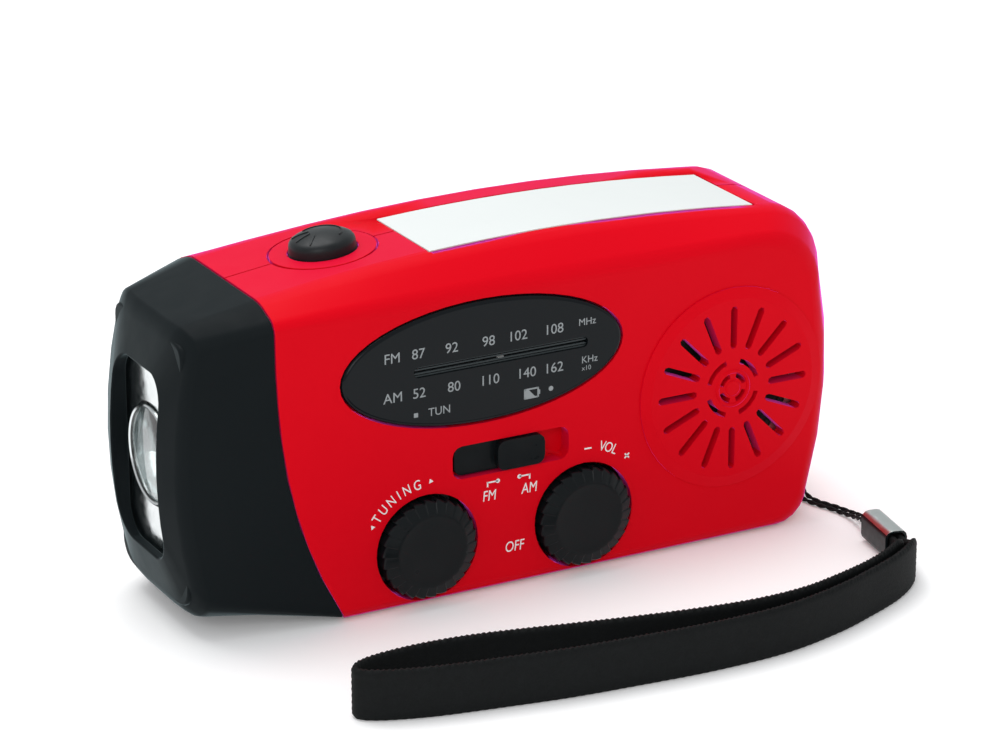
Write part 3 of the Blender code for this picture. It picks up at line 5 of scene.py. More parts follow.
import bmesh
import bpy
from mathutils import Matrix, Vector


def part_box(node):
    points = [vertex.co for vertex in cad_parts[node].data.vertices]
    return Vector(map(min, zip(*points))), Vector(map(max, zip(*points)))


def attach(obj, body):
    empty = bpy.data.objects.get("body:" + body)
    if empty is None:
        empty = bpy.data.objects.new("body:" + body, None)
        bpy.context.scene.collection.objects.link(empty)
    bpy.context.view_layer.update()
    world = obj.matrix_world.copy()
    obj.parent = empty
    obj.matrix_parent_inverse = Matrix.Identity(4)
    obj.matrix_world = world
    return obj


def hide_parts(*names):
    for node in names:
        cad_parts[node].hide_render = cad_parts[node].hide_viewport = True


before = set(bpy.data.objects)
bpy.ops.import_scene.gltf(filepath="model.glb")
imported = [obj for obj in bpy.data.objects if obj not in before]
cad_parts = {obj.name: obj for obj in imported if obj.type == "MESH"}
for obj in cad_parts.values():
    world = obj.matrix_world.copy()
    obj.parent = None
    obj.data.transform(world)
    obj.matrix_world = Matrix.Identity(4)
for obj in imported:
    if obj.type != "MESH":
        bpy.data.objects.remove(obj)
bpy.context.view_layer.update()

mm = 0.001
axes = {"x": Vector((1, 0, 0)), "y": Vector((0, 1, 0)), "z": Vector((0, 0, 1))}
flatTurns = {"x": (0, math.pi / 2, 0), "y": (math.pi / 2, 0, 0), "z": (0, 0, 0)}


# Camera, floor and light

studioValues = {
    "cameraPlace": (-289.5, -547.7, 262.2),
    "cameraTurn": (69.56, 0.06, -28.4),
    "lens": 135.8,
    "floorSide": 6000,
    "skyStrength": 0.62,
    "topLamp": {"place": (-100, 450, 1500), "side": 1100, "watts": 17.0},
    "frontLamp": {"place": (-900, -1300, 900), "side": 900, "watts": 7.0},
}


def makeStudio():
    v = studioValues
    camera = bpy.data.objects.new("photoCamera", bpy.data.cameras.new("photoCamera"))
    bpy.context.scene.collection.objects.link(camera)
    camera.location = Vector(v["cameraPlace"]) * mm
    camera.rotation_euler = [math.radians(turn) for turn in v["cameraTurn"]]
    camera.data.lens = v["lens"]
    camera.data.sensor_width = 36
    camera.data.clip_start = 0.01
    bpy.context.scene.camera = camera
    for name in ("topLamp", "frontLamp"):
        lamp = bpy.data.objects.new(name, bpy.data.lights.new(name, "AREA"))
        bpy.context.scene.collection.objects.link(lamp)
        lamp.location = Vector(v[name]["place"]) * mm
        lamp.rotation_euler = (-lamp.location).to_track_quat("-Z", "Y").to_euler()
        lamp.data.size = v[name]["side"] * mm
        lamp.data.energy = v[name]["watts"]
    world = bpy.data.worlds.new("studioSky")
    world.use_nodes = True
    sky = world.node_tree.nodes["Background"]
    sky.inputs["Color"].default_value = (0.97, 0.98, 1.0, 1.0)
    sky.inputs["Strength"].default_value = v["skyStrength"]
    bpy.context.scene.world = world
    bpy.context.scene.view_settings.view_transform = "Standard"
    clearSelection()
    bpy.ops.mesh.primitive_plane_add(size=v["floorSide"] * mm)
    floor = nameIt("studioFloor")
    floor.data.materials.append(paperFloor())
    print("studio ready")


# Hand tools for the meshes

def clearSelection():
    if bpy.context.mode != "OBJECT":
        bpy.ops.object.mode_set(mode="OBJECT")
    bpy.ops.object.select_all(action="DESELECT")


def takeUp(piece):
    clearSelection()
    piece.select_set(True)
    bpy.context.view_layer.objects.active = piece


def openMesh(piece):
    takeUp(piece)
    bpy.ops.object.mode_set(mode="EDIT")
    bpy.ops.mesh.select_all(action="SELECT")


def closeMesh():
    bpy.ops.object.mode_set(mode="OBJECT")


def nameIt(name):
    piece = bpy.context.active_object
    piece.name = name
    piece.data.name = name
    bpy.ops.object.transform_apply(location=True, rotation=True, scale=True)
    return piece


def pickVerts(piece, wanted):
    bpy.ops.mesh.select_mode(type="VERT")
    bpy.ops.mesh.select_all(action="DESELECT")
    shape = bmesh.from_edit_mesh(piece.data)
    for vert in shape.verts:
        vert.select_set(bool(wanted(vert.co / mm)))
    shape.select_flush_mode()
    bmesh.update_edit_mesh(piece.data)


def pickEdges(piece, wanted):
    bpy.ops.mesh.select_mode(type="EDGE")
    bpy.ops.mesh.select_all(action="DESELECT")
    shape = bmesh.from_edit_mesh(piece.data)
    for edge in shape.edges:
        start, end = (vert.co / mm for vert in edge.verts)
        edge.select_set(bool(wanted((start + end) / 2, (end - start).normalized())))
    bmesh.update_edit_mesh(piece.data)


def growRings(name, centre, axis, profile, count):
    out = axes[axis]
    place = Vector(centre) * mm
    radius, height = profile[0]
    clearSelection()
    bpy.ops.mesh.primitive_circle_add(vertices=count, radius=radius * mm, fill_type="NGON",
                                      location=place + out * height * mm, rotation=flatTurns[axis])
    piece = nameIt(name)
    openMesh(piece)
    for nextRadius, nextHeight in profile[1:]:
        bpy.ops.mesh.extrude_region_move(
            TRANSFORM_OT_translate={"value": out * (nextHeight - height) * mm})
        share = nextRadius / radius
        bpy.ops.transform.resize(value=(share, share, share),
                                 center_override=place + out * nextHeight * mm)
        radius, height = nextRadius, nextHeight
    bpy.ops.mesh.select_all(action="SELECT")
    bpy.ops.mesh.normals_make_consistent(inside=False)
    closeMesh()
    return piece


def growBlock(name, centre, size, corner=0.0, axis="y", steps=4):
    clearSelection()
    bpy.ops.mesh.primitive_cube_add(size=1, location=Vector(centre) * mm, scale=Vector(size) * mm)
    piece = nameIt(name)
    if corner:
        openMesh(piece)
        pickEdges(piece, lambda middle, along: abs(along.dot(axes[axis])) > 0.99)
        bpy.ops.mesh.bevel(offset=corner * mm, segments=steps, affect="EDGES")
        closeMesh()
    return piece


def applyStep(piece, kind, **settings):
    takeUp(piece)
    step = piece.modifiers.new("step", kind)
    for key, value in settings.items():
        setattr(step, key, value)
    bpy.ops.object.modifier_apply(modifier=step.name)


def carve(piece, tool, how="DIFFERENCE"):
    applyStep(piece, "BOOLEAN", operation=how, solver="EXACT", object=tool)
    bpy.data.objects.remove(tool, do_unlink=True)


def joinUp(pieces, name):
    clearSelection()
    for piece in pieces:
        piece.select_set(True)
    bpy.context.view_layer.objects.active = pieces[0]
    if len(pieces) > 1:
        bpy.ops.object.join()
    pieces[0].name = name
    pieces[0].data.name = name
    return pieces[0]


def copyNode(node, name):
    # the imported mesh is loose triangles, so its copy is merged and its flat faces are made whole
    piece = bpy.data.objects.new(name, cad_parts[node].data.copy())
    piece.data.materials.clear()
    bpy.context.scene.collection.objects.link(piece)
    openMesh(piece)
    bpy.ops.mesh.remove_doubles(threshold=0.002 * mm)
    bpy.ops.mesh.dissolve_limited(angle_limit=math.radians(0.6))
    closeMesh()
    return piece


def soften(piece, width, segments=2, angle=30):
    applyStep(piece, "BEVEL", width=width * mm, segments=segments, limit_method="ANGLE",
              angle_limit=math.radians(angle), use_clamp_overlap=True)


def finishPiece(piece, look, body, nodes=(), angle=32, weighted=True):
    takeUp(piece)
    bpy.ops.object.shade_smooth_by_angle(angle=math.radians(angle))
    if weighted:
        applyStep(piece, "WEIGHTED_NORMAL", keep_sharp=True)
    piece.data.materials.clear()
    piece.data.materials.append(look)
    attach(piece, body)
    if nodes:
        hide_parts(*nodes)
    return piece


# Finishes

def linear(code):
    made = []
    for start in (0, 2, 4):
        value = int(code[start:start + 2], 16) / 255
        made.append(value / 12.92 if value <= 0.04045 else ((value + 0.055) / 1.055) ** 2.4)
    return (*made, 1.0)


def addNode(tree, kind, sockets=None, **settings):
    node = tree.nodes.new(kind)
    for key, value in settings.items():
        setattr(node, key, value)
    for key, value in (sockets or {}).items():
        if isinstance(value, bpy.types.NodeSocket):
            tree.links.new(value, node.inputs[key])
        else:
            node.inputs[key].default_value = value
    return node


def newMaterial(name):
    made = bpy.data.materials.new(name)
    made.use_nodes = True
    tree = made.node_tree
    return made, tree, tree.nodes["Principled BSDF"]


def surfaceFinish(name, colour, worn, roughness, grain, relief, patch=14.0, spread=0.06, **sockets):
    # grain and patch are sizes in mm, relief the height of the grain in mm
    made, tree, shader = newMaterial(name)
    place = addNode(tree, "ShaderNodeTexCoord").outputs["Object"]
    blotch = addNode(tree, "ShaderNodeTexNoise", {"Vector": place, "Scale": 1 / (patch * mm), "Detail": 4.0})
    tone = addNode(tree, "ShaderNodeMix", {0: blotch.outputs["Fac"], 6: linear(colour), 7: linear(worn)},
                   data_type="RGBA")
    tree.links.new(tone.outputs[2], shader.inputs["Base Color"])
    dust = addNode(tree, "ShaderNodeTexNoise", {"Vector": place, "Scale": 4 / (patch * mm), "Detail": 6.0})
    gloss = addNode(tree, "ShaderNodeMapRange", {
        "Value": dust.outputs["Fac"], 1: 0.3, 2: 0.7, 3: roughness - spread, 4: roughness + spread})
    tree.links.new(gloss.outputs[0], shader.inputs["Roughness"])
    texture = addNode(tree, "ShaderNodeTexNoise", {"Vector": place, "Scale": 1 / (grain * mm), "Detail": 2.0})
    bump = addNode(tree, "ShaderNodeBump", {
        "Height": texture.outputs["Fac"], "Distance": relief * mm, "Strength": 1.0})
    tree.links.new(bump.outputs["Normal"], shader.inputs["Normal"])
    for key, value in sockets.items():
        shader.inputs[socketNames[key]].default_value = value
    return made


socketNames = {
    "metallic": "Metallic",
    "specular": "Specular IOR Level",
    "sheen": "Sheen Weight",
    "sheenRough": "Sheen Roughness",
    "sheenTint": "Sheen Tint",
    "coat": "Coat Weight",
    "coatRough": "Coat Roughness",
    "clear": "Transmission Weight",
    "ior": "IOR",
    "bleed": "Subsurface Weight",
}


def paperFloor():
    # white sweep paper: the camera sees it a little brighter than it is lit, so it stays white
    made, tree, shader = newMaterial("whiteSweepPaper")
    rays = addNode(tree, "ShaderNodeLightPath").outputs
    seen = addNode(tree, "ShaderNodeMath", {0: rays["Is Camera Ray"], 1: rays["Is Glossy Ray"]},
                   operation="MAXIMUM")
    seen = addNode(tree, "ShaderNodeMath", {0: seen.outputs[0], 1: rays["Is Transmission Ray"]},
                   operation="MAXIMUM")
    lift = addNode(tree, "ShaderNodeMath", {0: seen.outputs[0], 1: 0.12}, operation="MULTIPLY")
    shader.inputs["Base Color"].default_value = (0.93, 0.93, 0.93, 1.0)
    shader.inputs["Roughness"].default_value = 1.0
    shader.inputs["Specular IOR Level"].default_value = 0.0
    shader.inputs["Emission Color"].default_value = (1.0, 1.0, 1.0, 1.0)
    tree.links.new(lift.outputs[0], shader.inputs["Emission Strength"])
    return made


def makeFinishes():
    looks = {}
    # moulded ABS, spark-eroded mould: a fine even grain and a soft rosy gloss at low angles
    looks["redAbs"] = surfaceFinish("mouldedRedAbs", "DE0016", "D60014", 0.5, 0.25, 0.003, 30.0, 0.04,
                                    specular=0.06, sheen=1.0, sheenRough=0.28, sheenTint=(1.0, 0.12, 0.9, 1.0))
    # rubber-painted ABS: deep black from the front, grey bloom at low angles
    looks["softBlack"] = surfaceFinish("rubberPaintedAbs", "101517", "14191B", 0.55, 0.2, 0.003, 20.0, 0.05,
                                       specular=0.06, sheen=0.25, sheenRough=0.3, sheenTint=(0.7, 0.95, 1.0, 1.0))
    # silicone rubber: matt with a dusty bloom
    looks["rubber"] = surfaceFinish("mouldedSiliconeRubber", "0F1416", "151A1C", 0.42, 0.3, 0.004, 8.0, 0.06,
                                    specular=0.25, sheen=0.1, sheenRough=0.4, sheenTint=(0.8, 1.0, 1.0, 1.0))
    # glossy knob plastic: sharp thin highlights on the ridges
    looks["glossBlack"] = surfaceFinish("glossyBlackAbs", "0B1012", "0E1315", 0.32, 0.5, 0.002, 12.0, 0.05,
                                        specular=0.16)
    # cast acrylic, back-painted: a mirror-smooth black window
    looks["dialAcrylic"] = surfaceFinish("backPaintedAcrylic", "0C1114", "0E1316", 0.14, 3.0, 0.001, 40.0, 0.03,
                                         specular=0.12, coat=0.05, coatRough=0.05)
    # the two lips of the pointer's track, seen in the slot: matt grey moulding
    looks["trackGrey"] = surfaceFinish("matGreyMoulding", "2F3537", "3C4345", 0.5, 0.3, 0.003, 16.0, 0.05,
                                       specular=0.2)
    # vacuum-metallised ABS: bright but a little wavy
    looks["chrome"] = surfaceFinish("vacuumMetallisedAbs", "E2E6E6", "D2D8D8", 0.16, 1.2, 0.01, 5.0, 0.05,
                                    metallic=1.0)
    # clear acrylic
    looks["clearAcrylic"] = surfaceFinish("clearMouldedAcrylic", "F8FCFC", "F2F8F8", 0.05, 2.0, 0.002, 9.0, 0.02,
                                          clear=1.0, ior=1.49)
    # epoxy LED bodies: water-clear
    looks["epoxy"] = surfaceFinish("clearLedEpoxy", "F6F8F0", "EEF2E8", 0.06, 1.0, 0.002, 3.0, 0.02,
                                   clear=0.9, ior=1.52)
    # panel cover: pale film under polished resin
    looks["panel"] = surfaceFinish("resinCoatedPanel", "E6EBE9", "DFE5E3", 0.2, 0.6, 0.002, 24.0, 0.04,
                                   specular=0.5, coat=0.4, coatRough=0.08)
    looks["cells"] = surfaceFinish("siliconCells", "10142A", "181C38", 0.25, 1.0, 0.002, 10.0, 0.05)
    looks["board"] = surfaceFinish("fibreglassBoard", "0E5A2A", "0A4A22", 0.4, 0.3, 0.004, 9.0, 0.05)
    looks["greyPlastic"] = surfaceFinish("greyPolystyrene", "4A4D4E", "424546", 0.5, 0.3, 0.004, 9.0, 0.05)
    looks["palePlastic"] = surfaceFinish("paleAcetal", "D2D4D2", "C8CAC8", 0.45, 0.3, 0.003, 9.0, 0.05,
                                         bleed=0.05)
    looks["steel"] = surfaceFinish("zincPlatedSteel", "B4B8BA", "A2A6A8", 0.3, 0.2, 0.003, 3.0, 0.08, metallic=1.0)
    looks["nickel"] = surfaceFinish("nickelPlatedBrass", "C6CECC", "B8C0BE", 0.36, 0.3, 0.003, 4.0, 0.07,
                                    metallic=1.0)
    # the ferrule's sides: the same plating painted dark, a painted dark reflection standing in for the dark
    # surroundings the sides would mirror
    looks["darkNickel"] = surfaceFinish("nickelWithPaintedDarkReflection", "0E1517", "131B1D", 0.34, 0.3, 0.002, 4.0, 0.06,
                                        specular=0.2)
    looks["magnet"] = surfaceFinish("sinteredFerrite", "343638", "2A2C2E", 0.7, 0.4, 0.01, 5.0, 0.06)
    looks["paperCone"] = surfaceFinish("pressedPaperPulp", "23201E", "2C2825", 0.9, 0.5, 0.03, 4.0, 0.05)
    looks["copper"] = surfaceFinish("enamelledCopper", "A5562A", "8C4420", 0.35, 0.3, 0.01, 2.0, 0.06, metallic=0.9)
    looks["cellWrap"] = surfaceFinish("shrunkVinylSleeve", "1E5AA0", "1A4E8C", 0.3, 0.6, 0.004, 9.0, 0.05)
    looks["ink"] = surfaceFinish("screenPrintWhite", "F2F0F0", "E8E6E6", 0.6, 0.2, 0.002, 3.0, 0.05)
    looks["greyInk"] = surfaceFinish("screenPrintGrey", "9AA0A2", "8C9294", 0.6, 0.2, 0.002, 3.0, 0.05)
    looks["nylon"] = surfaceFinish("twistedNylonCord", "07090A", "0D1011", 0.6, 0.25, 0.01, 2.0, 0.06,
                                   specular=0.2)
    looks["webbing"] = surfaceFinish("wovenNylonWebbing", "060808", "0F1213", 0.7, 0.22, 0.05, 1.2, 0.06,
                                     specular=0.16)
    print("finishes ready:", len(looks))
    return looks


# The wrist strap

strapValues = {
    "webbingRoute": (
        (63.3, -40.3), (62.8, -43.5), (62.0, -47.0), (60.3, -51.0), (57.3, -54.5), (52.2, -57.9),
        (45.0, -61.1), (36.0, -64.4), (24.0, -67.0), (10.0, -67.3), (-4.0, -66.2), (-16.0, -64.9),
        (-28.0, -62.8), (-38.0, -60.8), (-45.0, -58.6), (-48.8, -56.6), (-49.6, -54.8), (-48.0, -53.2),
        (-44.0, -52.2), (-37.0, -51.9), (-29.0, -52.6), (-21.0, -54.2), (-10.0, -56.9), (0.8, -59.4),
        (11.0, -61.4), (20.5, -62.6), (29.0, -62.5), (36.0, -61.2), (46.0, -58.1), (53.0, -54.7),
        (57.2, -51.4), (59.6, -48.0), (60.9, -44.8), (61.3, -43.2), (61.85, -40.0)),
    "webbingWidth": 9.0,
    "webbingThick": 1.15,
    "pinchedWidth": 3.8,
    "pinchedLow": 1.1,
    "pinchedLength": 12.0,
    "webbingLength": 0.2519,
    "cordRoutes": (
        ((60.6, -2.4, 10.9), (62.8, -2.4, 10.9), (64.4, -3.2, 9.6), (64.9, -5.5, 6.5), (64.4, -8.5, 2.6),
         (64.0, -11.2, 0.9), (64.4, -14.2, 0.5), (65.8, -18.0, 0.5), (66.6, -22.0, 0.7), (66.2, -26.0, 1.5),
         (65.0, -30.0, 2.6), (64.2, -33.1, 3.0), (63.85, -35.8, 3.0)),
        ((59.4, -2.4, 6.3), (61.6, -2.4, 6.3), (63.2, -3.2, 5.6), (63.6, -5.5, 3.6), (63.2, -8.4, 1.3),
         (62.8, -11.4, 0.55), (63.1, -14.6, 0.5), (64.5, -18.4, 0.5), (65.3, -22.2, 0.6), (65.0, -26.1, 1.4),
         (63.9, -29.9, 2.5), (63.1, -33.1, 3.0), (62.75, -35.7, 3.0))),
    "cordLengths": (0.0422, 0.0394),
    "cordThick": 0.0009,
    "cordStep": 0.5,
    "strandRadius": 0.235,
    "strandOffset": 0.9,
    "strandSides": 8,
    "strandTwist": 4.5,
    "webbingStep": 0.3,
    "webbingRows": 16,
    "pinchedStraight": 4.0,
    "scallopRise": 0.12,
    "scallopEvery": 0.95,
    "scallopFrom": 0.97,
    "weaveRise": 0.05,
    "weaveEvery": 1.5,
    "weaveSlope": 1.2,
    "hem": 0.14,
    "edgeBand": 0.5,
    "edgeShare": 0.45,
}


def routeLine(points, step):
    # a smooth line through the points, sampled evenly every step mm
    dense = []
    last = len(points) - 1
    for index in range(last):
        a, b, c, d = (points[i] for i in (max(index - 1, 0), index, index + 1, min(index + 2, last)))
        for part in range(24):
            t = part / 24
            dense.append(0.5 * (2 * b + (c - a) * t + (2 * a - 5 * b + 4 * c - d) * t ** 2
                                + (3 * b - a - 3 * c + d) * t ** 3))
    dense.append(points[-1])
    line = [dense[0]]
    travelled = 0.0
    due = step
    for start, end in zip(dense, dense[1:]):
        length = (end - start).length
        while travelled + length >= due and length > 0:
            line.append(start.lerp(end, (due - travelled) / length))
            due += step
        travelled += length
    if (line[-1] - dense[-1]).length > step * 0.4:
        line.append(dense[-1])
    return line, travelled


def ringMesh(name, rings, uvs=None):
    count = len(rings[0])
    mesh = bpy.data.meshes.new(name)
    shape = bmesh.new()
    rows = [[shape.verts.new(point * mm) for point in ring] for ring in rings]
    layer = shape.loops.layers.uv.new("weave") if uvs else None
    for index in range(len(rows) - 1):
        for step in range(count):
            after = (step + 1) % count
            face = shape.faces.new((rows[index][step], rows[index][after], rows[index + 1][after],
                                    rows[index + 1][step]))
            if layer:
                spots = ((index, step), (index, step + 1), (index + 1, step + 1), (index + 1, step))
                for loop, (row, column) in zip(face.loops, spots):
                    loop[layer].uv = (uvs[0][row], uvs[1][column])
    shape.faces.new(list(reversed(rows[0])))
    shape.faces.new(rows[-1])
    bmesh.ops.recalc_face_normals(shape, faces=shape.faces)
    shape.to_mesh(mesh)
    shape.free()
    piece = bpy.data.objects.new(name, mesh)
    bpy.context.scene.collection.objects.link(piece)
    return piece


def makeCords(looks):
    v = strapValues
    for number, route in enumerate(v["cordRoutes"]):
        line, length = routeLine([Vector(point) for point in route], v["cordStep"])
        print("strap cord", number + 1, "is", round(length, 1), "mm long")
        strands = []
        for strand in range(2):
            rings = []
            for index, place in enumerate(line):
                along = (line[min(index + 1, len(line) - 1)] - line[max(index - 1, 0)]).normalized()
                side = along.cross(axes["z"])
                side = side.normalized() if side.length > 0.2 else along.cross(axes["x"]).normalized()
                up = side.cross(along)
                turn = math.pi * strand + 2 * math.pi * index * v["cordStep"] / v["strandTwist"]
                outward = side * math.cos(turn) + up * math.sin(turn)
                centre = place + outward * v["strandRadius"] * v["strandOffset"]
                sides = v["strandSides"]
                rings.append([centre + (side * math.cos(a) + up * math.sin(a)) * v["strandRadius"]
                              for a in (2 * math.pi * k / sides for k in range(sides))])
            strands.append(ringMesh(f"strand{strand}", rings))
        cord = joinUp(strands, f"strapCord{number + 1}")
        finishPiece(cord, looks["nylon"], "case", [f"strap_cord_{number + 1}"], 60, False)


def makeWebbing(looks):
    v = strapValues
    step = v["webbingStep"]
    line, length = routeLine([Vector((x, y, 0)) for x, y in v["webbingRoute"]], step)
    print("webbing is", round(length, 1), "mm long")
    rows = v["webbingRows"]  # points up one side of the band
    rings = []
    last = len(line) - 1
    for index, place in enumerate(line):
        along = (line[min(index + 1, last)] - line[max(index - 1, 0)]).normalized()
        side = along.cross(axes["z"])
        fromEnd = min(index, last - index) * step
        reach = min(max((fromEnd - v["pinchedStraight"]) / v["pinchedLength"], 0.0), 1.0)
        spread = reach * reach * (3 - 2 * reach)
        low = v["pinchedLow"] * (1 - spread)
        tall = v["pinchedWidth"] + (v["webbingWidth"] - v["pinchedWidth"]) * spread
        scallop = v["scallopRise"] * math.sin(2 * math.pi * index * step / v["scallopEvery"])
        ring = []
        for face in (1, -1):
            for row in range(rows):
                share = row / (rows - 1) if face > 0 else 1 - row / (rows - 1)
                edge = min(share, 1 - share) * tall
                swell = v["edgeShare"] + (1 - v["edgeShare"]) * math.sqrt(min(edge / v["edgeBand"], 1.0))
                thick = v["webbingThick"] / 2 * min(1.0, swell)
                diagonal = index * step * face + share * tall * v["weaveSlope"]
                weave = v["weaveRise"] * math.sin(2 * math.pi * diagonal / v["weaveEvery"])
                height = low + v["hem"] + share * (tall - 2 * v["hem"]) + scallop * (share > v["scallopFrom"])
                ring.append(place + side * face * (thick + weave) + axes["z"] * height)
        rings.append(ring)
    along = [index * step for index in range(len(rings))]
    around = [row * v["webbingWidth"] / rows for row in range(2 * rows + 1)]
    band = ringMesh("strapWebbing", rings, (along, around))
    finishPiece(band, looks["webbing"], "case", ["strap_webbing"], 60, False)


def makeFerrule(looks):
    clip = copyNode("strap_ferrule", "strapFerrule")
    soften(clip, 0.2, 2, 35)
    finishPiece(clip, looks["nickel"], "case", ["strap_ferrule"])
    # faces turned up keep the bright nickel, all other faces get the nickel with the painted dark reflection
    clip.data.materials.append(looks["darkNickel"])
    for face in clip.data.polygons:
        face.material_index = 0 if face.normal.z > 0.3 else 1
    return clip


# The case

caseValues = {
    "frontY": -21.15,
    "seamTop": -46.7,
    "seamSweep": 12.5,
    "seamPower": 2.7,
    "faceTop": 55.6,
    "seamGap": 0.3,
    "seamClose": 0.18,
    "seamBand": 0.12,
    "rimRadii": (18.45, 16.45),
    "rimNear": 0.1,
}


def seamX(z):
    v = caseValues
    share = min(max((v["faceTop"] - z) / v["faceTop"], 0.0), 1.0)
    return v["seamTop"] + v["seamSweep"] * share ** v["seamPower"]


def makeCase(looks):
    v = caseValues
    front = copyNode("front_shell", "caseFront")
    openMesh(front)
    x, _, z = grilleValues["centre"]

    def onRim(middle, along):
        radius = math.hypot(middle.x - x, middle.z - z)
        raised = middle.y < v["frontY"] - v["rimNear"]
        return raised and any(abs(radius - rim) < v["rimNear"] for rim in v["rimRadii"])
    pickEdges(front, onRim)
    bpy.ops.mesh.mark_sharp()
    closeMesh()
    finishPiece(front, looks["redAbs"], "case", ["front_shell"], 24)
    finishPiece(copyNode("rear_shell", "caseRear"), looks["redAbs"], "case", ["rear_shell"], 24)
    nose = copyNode("nose_cap", "noseCap")
    openMesh(nose)
    pickVerts(nose, lambda point: abs(point.x - seamX(point.z) + v["seamGap"]) < v["seamBand"])
    bpy.ops.transform.translate(value=(v["seamClose"] * mm, 0, 0))
    closeMesh()
    soften(nose, 0.45, 3, 44)
    finishPiece(nose, looks["softBlack"], "case", ["nose_cap"], 44)
    ring = copyNode("button_bezel", "buttonBezel")
    soften(ring, 0.12, 2, 40)
    finishPiece(ring, looks["redAbs"], "case", ["button_bezel"])
    cover = copyNode("solar_cover", "solarCover")
    soften(cover, 0.15, 2, 40)
    finishPiece(cover, looks["panel"], "case", ["solar_cover"])
    print("case dressed")


# The speaker grille's raised middle

grilleValues = {
    "centre": (41.0, 0, 29.2),
    "faceY": -21.85,
    "ring": ((2.75, 0.3), (2.75, 0.0), (2.95, -0.28), (3.3, -0.28), (3.55, 0.0), (3.55, 0.3)),
    "boss": ((1.5, 0.3), (1.5, -0.05), (1.25, -0.25), (0.6, -0.3)),
}


def makeGrilleHub(looks):
    v = grilleValues
    x, y, z = v["centre"]
    boss = growRings("grilleBoss", (x, v["faceY"], z), "y", v["boss"], 32)
    finishPiece(boss, looks["redAbs"], "case")
    rings = [[Vector((x + radius * math.cos(a), v["faceY"] + height, z + radius * math.sin(a)))
              for radius, height in v["ring"]] for a in (2 * math.pi * k / 48 for k in range(48))]
    rim = closedRing("grilleRing", rings)
    finishPiece(rim, looks["redAbs"], "case")


def closedRing(name, rings):
    mesh = bpy.data.meshes.new(name)
    shape = bmesh.new()
    rows = [[shape.verts.new(point * mm) for point in ring] for ring in rings]
    count = len(rows[0])
    for index, row in enumerate(rows):
        following = rows[(index + 1) % len(rows)]
        for step in range(count):
            after = (step + 1) % count
            shape.faces.new((row[step], row[after], following[after], following[step]))
    bmesh.ops.recalc_face_normals(shape, faces=shape.faces)
    shape.to_mesh(mesh)
    shape.free()
    piece = bpy.data.objects.new(name, mesh)
    bpy.context.scene.collection.objects.link(piece)
    return piece


# The torch

torchValues = {
    "midY": -1.55,
    "midZ": 28.9,
    "plateX": -60.8,
    "lensRing": ((8.75, 0.35), (8.75, -0.55), (8.5, -0.75), (8.2, -0.55), (8.2, 0.35)),
    "lens": ((8.3, 0.5), (8.3, -0.1), (7.0, -0.42), (5.0, -0.66), (2.6, -0.8), (0.4, -0.84)),
    "led": ((2.45, 0.6), (2.45, -0.3), (2.2, -0.3), (2.2, -3.0), (2.0, -3.7), (1.5, -4.3), (0.8, -4.6),
            (0.2, -4.65)),
    "facets": ((8.6, 0.5), (8.1, 2.4), (7.5, 4.6), (6.75, 7.4), (7.2, 7.4), (8.7, 0.7)),
    "facetCount": 13,
    "facetTwist": 0.11,
}


def makeTorch(looks):
    v = torchValues
    centre = (0, v["midY"], v["midZ"])
    plate = copyNode("reflector", "torchReflector")
    finishPiece(plate, looks["chrome"], "case", ["reflector"], 22)
    x = v["plateX"]
    lens = growRings("torchLens", (x, *centre[1:]), "x", v["lens"], 64)
    finishPiece(lens, looks["clearAcrylic"], "case", ["torch_lens"], 50)
    rings = [[Vector((x + height, centre[1] + radius * math.cos(a), centre[2] + radius * math.sin(a)))
              for radius, height in v["lensRing"]] for a in (2 * math.pi * k / 72 for k in range(72))]
    finishPiece(closedRing("lensRim", rings), looks["chrome"], "case", (), 40)
    rings = []
    for step in range(v["facetCount"]):
        turn = 2 * math.pi * step / v["facetCount"]
        rings.append([Vector((x + height, centre[1] + radius * math.cos(turn + v["facetTwist"] * index),
                              centre[2] + radius * math.sin(turn + v["facetTwist"] * index)))
                      for index, (radius, height) in enumerate(v["facets"])])
    finishPiece(closedRing("reflectorFacets", rings), looks["chrome"], "case", (), 3, False)
    for number in range(3):
        low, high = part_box(f"led_{number + 1}")
        middle = (low + high) / 2 / mm
        led = growRings(f"torchLed{number + 1}", (high.x / mm, middle.y, middle.z), "x", v["led"], 32)
        finishPiece(led, looks["epoxy"], "case", [f"led_{number + 1}"], 50)
    print("torch dressed")


# The torch button

buttonValues = {
    "centre": (-28.5, -1.55, 60.09),
    "slope": 5.5,
    "oval": 10.6 / 11.8,
    "profile": ((6.8, -3.2), (6.8, -2.35), (5.9, -2.35), (5.9, 0.3), (5.86, 1.2), (5.74, 1.7), (5.45, 2.1),
                (4.9, 2.45), (4.1, 2.78), (3.2, 3.03), (2.2, 3.22), (1.2, 3.34), (0.3, 3.38)),
    "rays": (((-1.8, 1.0), (-4.6, 2.0)), ((-2.0, 0.0), (-4.9, -0.3)), ((-1.6, -1.1), (-3.6, -3.1))),
    "arcRadius": 3.7,
    "arcTurn": (125, -55),
    "markWidth": 0.42,
    "markRise": 0.16,
    "markSink": 0.2,
    "markCrown": 1.3,
    "markShoulder": 0.7,
    "markTaper": 0.35,
}


def domeHeight(a, b):
    reach = math.hypot(a, b / buttonValues["oval"])
    steps = buttonValues["profile"]
    for (wide, low), (narrow, high) in zip(steps, steps[1:]):
        if narrow <= reach <= wide and narrow < wide:
            return low + (high - low) * (wide - reach) / (wide - narrow)
    return steps[-1][1]


